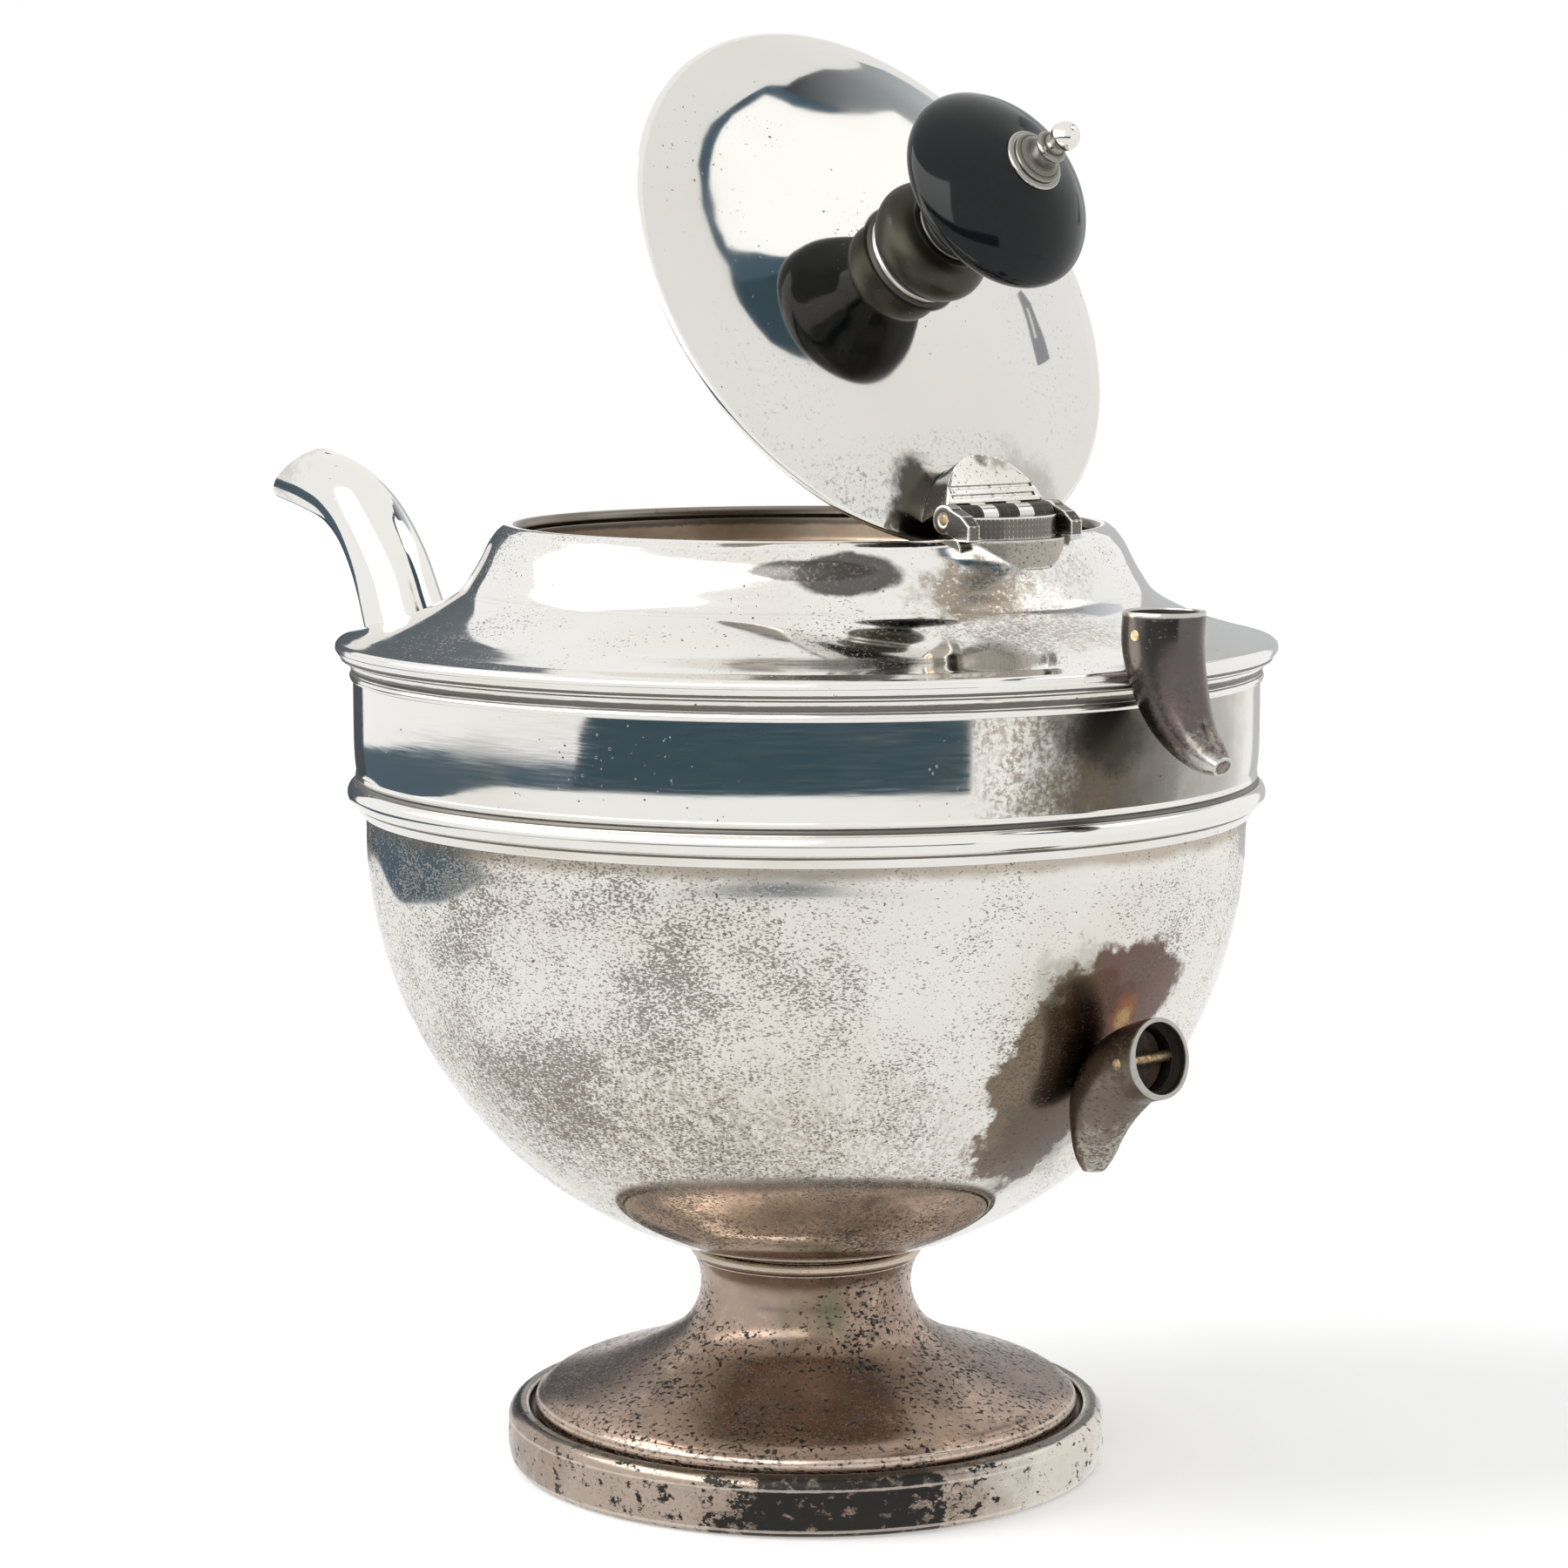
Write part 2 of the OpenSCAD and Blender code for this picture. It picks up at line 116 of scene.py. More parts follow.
def arc(centre, radius, start, end, steps):
    angles = [math.radians(start + (end - start) * i / steps) for i in range(steps + 1)]
    return [np.array((centre[0] + radius * math.cos(a), centre[1] + radius * math.sin(a))) for a in angles]


def inset(path, thickness):
    """The path moved to its left by a wall's thickness."""
    out = []
    for i, p in enumerate(path):
        d = path[min(i + 1, len(path) - 1)] - path[max(i - 1, 0)]
        d = d / np.linalg.norm(d)
        out.append(p + thickness * np.array((-d[1], d[0])))
    return out


def walled(path, thickness):
    path = [np.array(p, float) for p in path]
    return path + inset(path, thickness)[::-1]


def rounded(loop, radius=0.25, sharp=24, steps=4):
    """A closed loop with its sharp corners rounded off."""
    loop = [np.array(p, float) for p in loop]
    out = []
    n = len(loop)
    for i in range(n):
        a, b, c = loop[i - 1], loop[i], loop[(i + 1) % n]
        u, v = a - b, c - b
        lu, lv = np.linalg.norm(u), np.linalg.norm(v)
        if lu < 1e-6 or lv < 1e-6:
            continue
        turn = 180 - math.degrees(math.acos(max(-1, min(1, float(u @ v) / lu / lv))))
        if turn < sharp or b[0] < 1e-6:
            out.append(b)
            continue
        r = min(radius, lu * 0.45, lv * 0.45)
        p, q = b + u / lu * r, b + v / lv * r
        for k in range(steps + 1):
            t = k / steps
            out.append((1 - t) ** 2 * p + 2 * t * (1 - t) * b + t * t * q)
    return out


def dense(loop, step):
    """A closed loop with points added so that no two are further apart than step."""
    out = []
    for i, a in enumerate(loop):
        b = loop[(i + 1) % len(loop)]
        k = max(1, int(math.ceil(np.linalg.norm(b - a) / step)))
        out += [a + (b - a) * j / k for j in range(k)]
    return out


# ---------------------------------------------------------------- meshes
def piece(name, points, faces):
    """A mesh object from points in millimetres."""
    mesh = bpy.data.meshes.new(name)
    mesh.from_pydata((np.asarray(points, float) * MM).tolist(), [], faces)
    obj = bpy.data.objects.new(name, mesh)
    link(obj)
    tidy(obj)
    return obj


def tidy(obj):
    with editing(obj.data) as work:
        bmesh.ops.remove_doubles(work, verts=work.verts, dist=MERGE)
        bmesh.ops.dissolve_degenerate(work, edges=work.edges, dist=1e-7)
        bmesh.ops.recalc_face_normals(work, faces=work.faces)


def grid_faces(rows, columns, wrap):
    faces = []
    for k in range(rows if wrap else rows - 1):
        a, b = k * columns, (k + 1) % rows * columns
        faces += [(a + i, b + i, b + (i + 1) % columns, a + (i + 1) % columns) for i in range(columns)]
    return faces


def lathe(name, loop, step=0.8, segments=256, corner=0.25):
    """A closed outline (radius, height) turned about the pot's axis."""
    loop = dense(rounded(loop, corner), step)
    angles = np.arange(segments) * 2 * math.pi / segments
    points = [(r * c, r * s, z) for r, z in loop for c, s in zip(np.cos(angles), np.sin(angles))]
    return piece(name, points, grid_faces(len(loop), segments, True))


def ring(x, z, tilt, a, b, count=72):
    """A ring in the handle's plane: centre, tilt of its in-plane radius, in-plane radius, radius along Y."""
    t = np.arange(count) * 2 * math.pi / count
    k = math.radians(tilt)
    return np.stack([x + a * np.cos(t) * math.cos(k), b * np.sin(t), z + a * np.cos(t) * math.sin(k)], 1)


def loft(name, rings, caps=False, outside=None):
    """A skin over rings. With outside=(centre height, radius), it starts where it leaves that ball."""
    rings = np.array(rings)
    if outside:
        centre, radius = np.array((0, 0, outside[0])), outside[1]
        for i in range(rings.shape[1]):
            column = rings[:, i]
            reach = np.linalg.norm(column - centre, axis=1)
            if (reach >= radius).any():
                for k in np.flatnonzero(reach < radius):
                    column[k] = centre + (column[k] - centre) / reach[k] * radius
    rows, columns = rings.shape[:2]
    faces = grid_faces(rows, columns, not caps)
    if caps:
        faces += [tuple(range(columns)), tuple(range((rows - 1) * columns, rows * columns))]
    return piece(name, rings.reshape(-1, 3), faces)


def apply_modifiers(obj):
    graph = bpy.context.evaluated_depsgraph_get()
    mesh = bpy.data.meshes.new_from_object(obj.evaluated_get(graph))
    obj.modifiers.clear()
    obj.data = mesh


def cut(obj, *cutters):
    """Takes the cutters away from the object and removes them."""
    for cutter in cutters:
        modifier = obj.modifiers.new("cut", "BOOLEAN")
        modifier.operation = "DIFFERENCE"
        modifier.solver = "EXACT"
        modifier.object = cutter
    apply_modifiers(obj)
    for cutter in cutters:
        bpy.data.objects.remove(cutter)


def copy_of(node, name, bevel):
    """A copy of a CAD node's shape as a new piece, with its edges rounded and its faces split small."""
    mesh = frame["nodes"][node].data.copy()
    mesh.materials.clear()
    for stale in list(mesh.attributes):
        if stale.name.startswith("custom_normal"):
            mesh.attributes.remove(stale)
    obj = bpy.data.objects.new(name, mesh)
    link(obj)
    with editing(mesh) as work:
        bmesh.ops.remove_doubles(work, verts=work.verts, dist=MERGE)
        bmesh.ops.dissolve_limit(work, angle_limit=math.radians(0.5), verts=work.verts, edges=work.edges)
        bmesh.ops.recalc_face_normals(work, faces=work.faces)
    modifier = obj.modifiers.new("round", "BEVEL")
    modifier.width = bevel * MM
    modifier.segments = 3
    modifier.limit_method = "ANGLE"
    modifier.angle_limit = CORNER_ANGLE
    apply_modifiers(obj)
    with editing(obj.data) as work:
        for _ in range(5):
            bmesh.ops.triangulate(work, faces=work.faces)
            long_edges = [e for e in work.edges if e.calc_length() > SPLIT_EDGE * MM]
            if long_edges:
                bmesh.ops.subdivide_edges(work, edges=long_edges, cuts=1)
        bmesh.ops.triangulate(work, faces=work.faces)
    return obj


def read_points(obj):
    count = len(obj.data.vertices)
    co, normal = np.zeros(count * 3), np.zeros(count * 3)
    obj.data.vertices.foreach_get("co", co)
    obj.data.vertices.foreach_get("normal", normal)
    return co.reshape(-1, 3) / MM, normal.reshape(-1, 3)


def write_points(obj, co):
    obj.data.vertices.foreach_set("co", (co * MM).ravel())
    obj.data.update()


def waves(points, size, seed):
    """Soft noise from -1 to 1 at each point, in waves of the given size."""
    shift = np.array((seed * 7.3, seed * 3.1, seed * 5.7))
    return np.array([noise.noise(Vector(p)) for p in points / size + shift])


def dent(obj, depth, size, seed=0):
    """Moves the surface in and out a little, in soft waves, all in millimetres."""
    co, normal = read_points(obj)
    write_points(obj, co + normal * (waves(co, size, seed) * depth)[:, None])


def dent_turned(obj, depth, size, seed, keep):
    """Moves a turned wall towards or away from the axis, both skins alike, so its thickness stays.
    The moves fade out towards the lower and the upper height given by keep."""
    co, _ = read_points(obj)
    low, high = keep
    amount = waves(co, size, seed) * depth
    amount *= np.clip((co[:, 2] - low) / 3, 0, 1) * np.clip((high - co[:, 2]) / 3, 0, 1)
    radius = np.maximum(np.hypot(co[:, 0], co[:, 1]), 1e-3)
    co[:, 0] += co[:, 0] / radius * amount
    co[:, 1] += co[:, 1] / radius * amount
    write_points(obj, co)


def weather(obj):
    """Smooth shading, and per-point values for raised edges and for hollows, read by the materials."""
    mesh = obj.data
    mesh.shade_smooth()
    mesh.set_sharp_from_angle(angle=math.radians(32))
    co, normal = read_points(obj)
    count = len(co)
    edges = np.zeros(len(mesh.edges) * 2, int)
    mesh.edges.foreach_get("vertices", edges)
    edges = edges.reshape(-1, 2)
    raised, hollow = np.zeros(count), np.zeros(count)
    for a, b in ((0, 1), (1, 0)):
        i, j = edges[:, a], edges[:, b]
        d = co[j] - co[i]
        length = np.maximum(np.linalg.norm(d, axis=1), 0.05)
        bend = 2 * (d * normal[i]).sum(1) / length ** 2
        np.maximum.at(raised, i, -bend)
        np.maximum.at(hollow, i, bend)
    for name, value in (("raised", raised), ("hollow", hollow)):
        layer = mesh.attributes.new(name, "FLOAT", "POINT")
        layer.data.foreach_set("value", np.clip(value * 1.2, 0, 1).astype(np.float32))


# ---------------------------------------------------------------- materials
class Look:
    """A Principled material put together from a few node helpers. Sizes are in millimetres.
    With swung, places are given as they are with the lid closed."""

    def __init__(self, name, metallic=1.0, swung=False):
        self.material = bpy.data.materials.new(name)
        self.material.use_nodes = True
        self.tree = self.material.node_tree
        self.tree.nodes.clear()
        output = self.node("ShaderNodeOutputMaterial")
        self.shader = self.node("ShaderNodeBsdfPrincipled")
        self.tree.links.new(self.shader.outputs[0], output.inputs[0])
        self.set("Metallic", metallic)
        self.place = self.node("ShaderNodeTexCoord").outputs["Object"]
        if swung:
            back = self.node("ShaderNodeMapping")
            back.inputs["Rotation"].default_value = (0, -OPEN_ANGLE, 0)
            back.inputs["Location"].default_value = SWING.inverted().to_translation()
            self.put(back.inputs["Vector"], self.place)
            self.place = back.outputs[0]

    def node(self, kind, **settings):
        made = self.tree.nodes.new(kind)
        for key, value in settings.items():
            setattr(made, key, value)
        return made

    def put(self, socket, value):
        if isinstance(value, bpy.types.NodeSocket):
            self.tree.links.new(value, socket)
        elif socket.type == "RGBA":
            socket.default_value = (*value, 1)
        else:
            socket.default_value = value

    def set(self, name, value):
        self.put(self.shader.inputs[name], value)

    def math(self, operation, a, b=0.0, clamp=False):
        made = self.node("ShaderNodeMath", operation=operation, use_clamp=clamp)
        self.put(made.inputs[0], a)
        self.put(made.inputs[1], b)
        return made.outputs[0]

    def times(self, a, b):
        return self.math("MULTIPLY", a, b)

    def plus(self, a, b, clamp=False):
        return self.math("ADD", a, b, clamp)

    def minus(self, a, b):
        return self.math("SUBTRACT", a, b)

    def step(self, value, low, high, start=0.0, end=1.0):
        made = self.node("ShaderNodeMapRange", interpolation_type="SMOOTHSTEP")
        for i, v in enumerate((value, low, high, start, end)):
            self.put(made.inputs[i], v)
        return made.outputs[0]

    def mix(self, amount, a, b):
        made = self.node("ShaderNodeMix", data_type="RGBA")
        self.put(made.inputs[0], amount)
        self.put(made.inputs[6], a)
        self.put(made.inputs[7], b)
        return made.outputs[2]

    def stain_and_painted_light(self, colour, mask, amount, shade):
        return self.mix(self.times(mask, amount), colour, shade)

    def wave(self, value, reach):
        """A noise turned into an offset around nought."""
        return self.times(self.minus(value, 0.5), reach)

    def ragged(self, value, size, reach, offset=0.0):
        """A value with noise added, so that a step in it gets a ragged edge."""
        return self.plus(value, self.times(self.noise(size, 4, 0.6, offset=offset), reach))

    def stretched(self, x=1, y=1, z=1):
        made = self.node("ShaderNodeMapping")
        made.inputs["Scale"].default_value = (x, y, z)
        self.put(made.inputs["Vector"], self.place)
        return made.outputs[0]

    def noise(self, size, detail=3.0, rough=0.5, place=None, offset=0.0):
        made = self.node("ShaderNodeTexNoise", noise_dimensions="4D")
        self.put(made.inputs["Vector"], place or self.place)
        made.inputs["W"].default_value = offset
        made.inputs["Scale"].default_value = 1 / (size * MM)
        made.inputs["Detail"].default_value = detail
        made.inputs["Roughness"].default_value = rough
        return made.outputs["Fac"]

    def pits(self, size, radius):
        """Small round spots, one to a cell of the given size."""
        made = self.node("ShaderNodeTexVoronoi")
        self.put(made.inputs["Vector"], self.place)
        made.inputs["Scale"].default_value = 1 / (size * MM)
        return self.step(made.outputs["Distance"], radius, radius * 0.6)

    def attribute(self, name):
        return self.node("ShaderNodeAttribute", attribute_name=name).outputs["Fac"]

    def spot(self, centre, radius, ragged=0.5, size=5.0, soft=0.45, offset=0.0, holes=0.0, fleck=0.6,
             upright=1.0):
        """A ragged blotch around a point: 1 inside, 0 outside. Holes let the bright metal through in flecks
        of the given size, drawn out in height where upright is below 1."""
        moved = self.node("ShaderNodeMapping", vector_type="POINT")
        moved.inputs["Location"].default_value = tuple(-c / r for c, r in zip(centre, radius))
        moved.inputs["Scale"].default_value = tuple(1 / (r * MM) for r in radius)
        self.put(moved.inputs["Vector"], self.place)
        length = self.node("ShaderNodeVectorMath", operation="LENGTH")
        self.put(length.inputs[0], moved.outputs[0])
        wobble = self.wave(self.noise(size, 5, 0.65, offset=offset), ragged * 4)
        mask = self.step(self.plus(length.outputs["Value"], wobble), 1 + soft, 1 - soft)
        if holes:
            flecks = self.noise(fleck, 4, 0.7, place=self.stretched(1, 1, upright), offset=offset + 20)
            mask = self.times(mask, self.step(flecks, 0.27 + 0.22 * holes, 0.41 + 0.22 * holes))
        return mask

    def height(self):
        split = self.node("ShaderNodeSeparateXYZ")
        self.put(split.inputs[0], self.place)
        return self.math("DIVIDE", split.outputs[2], MM)

    def radius(self):
        """Distance from the object's upright axis, in millimetres."""
        flat = self.node("ShaderNodeVectorMath", operation="LENGTH")
        self.put(flat.inputs[0], self.stretched(1, 1, 0))
        return self.math("DIVIDE", flat.outputs["Value"], MM)

    def bump(self, value, strength, distance):
        made = self.node("ShaderNodeBump")
        made.inputs["Strength"].default_value = strength
        made.inputs["Distance"].default_value = distance * MM
        self.put(made.inputs["Height"], value)
        self.set("Normal", made.outputs[0])


SILVER = (0.85, 0.835, 0.795)
WARM = (0.66, 0.58, 0.46)
SOOT = (0.035, 0.032, 0.03)


def silver(name, tint=SILVER, rough=0.07, film=0.25, film_colour=WARM, specks=0.3, speck_size=0.8, pit=0.09,
           grain=0.0, grain_size=0.5, grain_spot=None, grime=0.7, scratch=0.3, rub=0.8, blotches=(), seed=0.0,
           swung=False):
    """Worn silver: a warm film in clouds, dark specks and grain, black hollows, and rubbed bright edges. Its
    blotches are stains, and on the bowl and the shoulder also painted reflections.
    """
    m = Look(name, swung=swung)
    cloud = m.noise(38, 3, 0.55, offset=seed)
    colour, roughness = tint, rough
    haze = m.times(m.step(cloud, 0.42, 0.68), film)
    colour = m.mix(haze, colour, film_colour)
    roughness = m.plus(m.times(haze, 0.18), roughness)
    marks = []
    if grain:
        fine = m.noise(grain_size, 3, 0.6, place=m.stretched(0.8, 0.8, 1.5), offset=seed + 2)
        gate = m.wave(m.noise(16, 3, 0.6, offset=seed + 3), 0.5)
        value = m.plus(fine, gate)
        if grain_spot:
            value = m.plus(value, m.times(m.spot(*grain_spot, size=12, soft=0.7), 0.08))
        grains = m.step(value, 0.72 - 0.1 * grain, 0.755 - 0.1 * grain)
        marks.append((m.times(grains, 0.75), (0.13, 0.105, 0.08)))
    if specks:
        gate = m.noise(22, 2, 0.5, offset=seed + 5)
        field = m.noise(speck_size, 3, 0.6, offset=seed + 6)
        value = m.plus(field, m.wave(gate, 0.5))
        marks.append((m.step(value, 0.80 - 0.12 * specks, 0.82 - 0.12 * specks), (0.13, 0.11, 0.095)))
        if pit:
            marks.append((m.times(m.pits(2.3, pit), m.step(gate, 0.5, 0.6)), SOOT))
    # Blotches: stains, and on the bowl and the shoulder also painted reflections.
    for amount, shade, rougher, mask in [made(m) for made in blotches]:
        colour = m.stain_and_painted_light(colour, mask, amount, shade)
        roughness = m.plus(m.times(mask, rougher), roughness)
    dirt = m.step(m.ragged(m.attribute("hollow"), 3, 0.5, seed + 8), 0.42, 0.75)
    marks.append((m.times(dirt, grime), (0.09, 0.08, 0.07)))
    total = 0.0
    for amount, shade in marks:
        colour = m.mix(amount, colour, shade)
        total = m.math("MAXIMUM", amount, total)
    rubbed = m.step(m.ragged(m.attribute("raised"), 2.5, -0.6, seed + 9), 0.1, 0.45)
    colour = m.stain_and_painted_light(colour, rubbed, rub, SILVER)
    m.set("Base Color", colour)
    lines = m.noise(0.35, 2, 0.5, place=m.stretched(0.06, 0.06, 1.0), offset=seed + 11)
    roughness = m.plus(m.wave(lines, 0.12 * scratch), roughness)
    roughness = m.plus(m.times(total, 0.3), roughness, clamp=True)
    m.set("Roughness", roughness)
    relief = m.minus(m.times(lines, 0.05 * scratch), m.times(total, 0.6))
    m.bump(relief, 0.35, 0.06)
    return m.material


def blotch(centre, radius, amount, shade, rougher=0.1, **more):
    """A spot for a material: its strength, its colour, the roughness that it adds, and its mask."""
    return lambda m: (amount, shade, rougher, m.spot(centre, radius, **more))


def foot_silver(name, warm, black=0.5, flake=1.3, groove=0.0, rub=0.7, blotches=(), seed=0.0):
    """Brown tarnish with black flakes and rubbed edges. Inside the groove's radius it is dark.
    Here a blotch's third number makes the flakes thicker, or thinner where it is below nought."""
    m = Look(name)
    cloud = m.noise(14, 4, 0.6, offset=seed)
    colour = m.mix(m.step(cloud, 0.35, 0.65), warm, tuple(c * 0.66 for c in warm))
    pale = m.step(m.noise(2.2, 6, 0.75, offset=seed + 1), 0.52, 0.66)
    colour = m.stain_and_painted_light(colour, pale, 0.4, tuple(min(1, c * 1.7) for c in warm))
    blue = m.step(m.noise(22, 2, 0.5, offset=seed + 12), 0.56, 0.7)
    colour = m.stain_and_painted_light(colour, blue, 0.3, (0.12, 0.14, 0.17))
    extra = 0.0
    for amount, shade, more, mask in [made(m) for made in blotches]:
        colour = m.stain_and_painted_light(colour, mask, amount, shade)
        extra = m.plus(m.times(mask, more), extra)
    gate = m.wave(m.noise(9, 3, 0.6, offset=seed + 4), 0.2)
    gate = m.plus(gate, extra)
    flat = m.stretched(1, 1, 1.4)
    field = m.noise(flake, 7, 0.72, place=flat, offset=seed + 3)
    flakes = m.step(m.plus(field, gate), 0.66 - 0.16 * black, 0.675 - 0.16 * black)
    fine = m.step(m.plus(m.noise(0.55, 5, 0.75, place=flat, offset=seed + 5), gate), 0.585, 0.63)
    flakes = m.math("MAXIMUM", flakes, m.times(fine, 0.55))
    dirt = m.step(m.ragged(m.attribute("hollow"), 3, 0.5), 0.4, 0.7)
    flakes = m.math("MAXIMUM", flakes, m.times(dirt, 0.85))
    colour = m.mix(flakes, colour, SOOT)
    if groove:
        near = m.ragged(m.radius(), 5, 0.7, seed + 7)
        colour = m.mix(m.times(m.step(near, groove + 0.5, groove + 0.2), 0.85), colour, (0.085, 0.065, 0.045))
    worn = m.times(m.noise(2.2, 5, 0.65), 0.75)
    rubbed = m.step(m.minus(m.attribute("raised"), worn), 0.2, 0.45)
    colour = m.stain_and_painted_light(colour, rubbed, rub, (0.8, 0.7, 0.6))
    m.set("Base Color", colour)
    m.set("Roughness", m.plus(m.times(flakes, 0.25), m.step(cloud, 0.3, 0.7, 0.18, 0.27)))
    m.bump(m.times(flakes, -1), 0.5, 0.05)
    return m.material


def stained_inside(name):
    """The unpolished inside: tan and brown tea stain, with a water line."""
    m = Look(name)
    cloud = m.noise(20, 4, 0.6)
    colour = m.mix(m.step(cloud, 0.35, 0.65), (0.8, 0.68, 0.54), (0.5, 0.38, 0.27))
    line = m.step(m.plus(m.height(), m.times(m.noise(12), 6)), 95, 92)
    colour = m.stain_and_painted_light(colour, line, 0.5, (0.2, 0.13, 0.085))
    rim = m.step(m.ragged(m.height(), 3, 0.8), 139.6, 140.1)
    colour = m.stain_and_painted_light(colour, rim, 0.85, (0.16, 0.145, 0.13))
    drops = m.step(m.noise(2.2, 4, 0.7), 0.62, 0.68)
    colour = m.stain_and_painted_light(colour, drops, 0.5, (0.14, 0.1, 0.07))
    m.set("Base Color", colour)
    m.set("Roughness", m.step(cloud, 0.3, 0.7, 0.24, 0.4))
    m.bump(cloud, 0.2, 0.1)
    return m.material


def ebony(name):
    """Polished black, with faint turning marks and fine dust-like scuffs."""
    m = Look(name, metallic=0.0, swung=True)
    grain = m.noise(1.2, 3, 0.6, place=m.stretched(1, 1, 0.12))
    m.set("Base Color", m.mix(grain, (0.003, 0.0035, 0.004), (0.008, 0.009, 0.01)))
    scuff = m.step(m.noise(0.5, 3, 0.6, place=m.stretched(1, 1, 0.2)), 0.62, 0.72)
    m.set("Roughness", m.plus(m.times(scuff, 0.12), 0.09))
    m.set("IOR", 1.54)
    m.set("Specular IOR Level", 0.22)
    m.bump(grain, 0.06, 0.05)
    return m.material


def brass(name):
    m = Look(name)
    cloud = m.noise(0.8, 3, 0.6)
    m.set("Base Color", m.mix(m.step(cloud, 0.4, 0.65), (0.6, 0.47, 0.27), (0.24, 0.17, 0.1)))
    m.set("Roughness", m.step(cloud, 0.3, 0.7, 0.32, 0.5))
    m.bump(cloud, 0.2, 0.05)
    return m.material


def charred(name):
    m = Look(name, metallic=0.0)
    grain = m.noise(1.5, 5, 0.7, place=m.stretched(0.2, 1, 1))
    m.set("Base Color", m.mix(m.step(grain, 0.35, 0.65), (0.012, 0.01, 0.009), (0.09, 0.055, 0.03)))
    m.set("Roughness", m.step(grain, 0.3, 0.7, 0.6, 0.9))
    m.bump(grain, 0.8, 0.3)
    return m.material


BOWL_STAINS_AND_PAINTED_REFLECTION = (
    blotch((0, 0, 34), (64, 64, 15), 0.0, SILVER, -0.1, offset=2, ragged=0.1),
    blotch((16, -50, 58), (28, 24, 15), 0.6, (0.33, 0.28, 0.225), 0.07, size=9, offset=5, holes=0.8,
           fleck=0.7, upright=0.3),
    blotch((44, -34, 56), (18, 18, 14), 0.5, (0.31, 0.26, 0.2), 0.06, size=9, offset=7, holes=0.8,
           upright=0.3),
    blotch((-8, -56, 66), (10, 16, 12), 0.5, (0.34, 0.29, 0.23), 0.06, size=6, offset=8, holes=0.9,
           upright=0.25),
    blotch((58, -5, 66), (20, 11, 19), 0.94, (0.17, 0.12, 0.075), 0.06, soft=0.08, ragged=0.34),
    blotch((60, 3, 79), (20, 12, 8), 0.94, (0.12, 0.062, 0.045), 0.06, soft=0.1, ragged=0.3, offset=18),
    blotch((58, -2, 60), (20, 9, 12), 0.55, (0.06, 0.045, 0.04), 0.05, size=6, offset=3),
    blotch((60, -8, 80), (20, 6, 6), 0.5, (0.13, 0.11, 0.06), 0.05, size=4, offset=4),
    # A brown ring at the bottom of the bowl: a painted reflection of the brown foot.
    blotch((0, 0, 31), (31, 31, 7), 0.75, (0.3, 0.225, 0.155), 0.0, size=9, offset=9, ragged=0.2),
    blotch((61.8, 3.8, 77.2), (3.4, 3.4, 4.4), 0.4, (0.09, 0.06, 0.06), 0.05, size=4, offset=10),
    blotch((61.8, 3.6, 76.2), (2.4, 2.4, 3.2), 0.7, (0.32, 0.12, 0.05), 0.05, size=4, offset=11),
    blotch((61.8, 3.8, 75.0), (1.5, 1.5, 1.9), 0.7, (0.5, 0.36, 0.15), 0.05, size=3, offset=12),
    lambda m: (0.65, (0.36, 0.28, 0.2), 0.1, m.step(m.ragged(m.height(), 9, 3.0, 15), 98.6, 100.4)),
)
BAND_MARKS = (
    blotch((64.8, -17, 112), (9, 8, 16), 0.8, (0.30, 0.25, 0.18), size=4, ragged=0.6, holes=0.8, fleck=0.8),
    blotch((67, -2, 113), (9, 14, 18), 0.94, (0.075, 0.063, 0.048), size=6, offset=4, ragged=0.4),
    blotch((67, -5, 116), (9, 8, 5), 0.7, (0.03, 0.028, 0.022), offset=14),
    blotch((66, 17, 112), (9, 13, 20), 0.75, (0.3, 0.285, 0.26), size=8, offset=15, ragged=0.3, soft=0.6),
    blotch((66, -10, 106), (9, 9, 7), 0.6, (0.16, 0.12, 0.075), size=4, offset=5, ragged=0.6, holes=0.6),
)
SHOULDER_STAINS_AND_PAINTED_REFLECTION = (
    # The first two blotches are a painted reflection of the black knob, a dark lens on the front of the
    # shoulder. The rest are stains.
    blotch((38.5, -27.5, 138.0), (7.5, 7.5, 2.9), 0.92, (0.06, 0.057, 0.053), ragged=0.16, soft=0.12,
           offset=11),
    blotch((35.5, -32, 138.6), (9, 9, 1.4), 0.9, (0.06, 0.057, 0.053), ragged=0.16, soft=0.15, offset=12),
    blotch((49, -13, 135.5), (7.5, 8.5, 4.2), 0.8, (0.27, 0.2, 0.13), 0.12, size=3, ragged=0.6, soft=0.35,
           holes=0.3),
    blotch((51, -10, 132), (9, 13, 6), 0.6, (0.36, 0.30, 0.23), 0.16, size=3, offset=3, holes=0.9,
           upright=2.5),
    blotch((54, -4, 129), (8, 14, 2.6), 0.6, (0.33, 0.3, 0.27), 0.2, size=3, ragged=0.7, offset=6, holes=0.7,
           upright=3),
    blotch((24, -38, 139), (24, 16, 3.5), 0.5, (0.42, 0.36, 0.28), size=3, ragged=0.7, offset=7, holes=1.1),
    blotch((48, 4, 138), (6, 9, 5), 0.5, (0.4, 0.37, 0.32), 0.2, size=3, ragged=0.6, offset=8, holes=0.8),
)
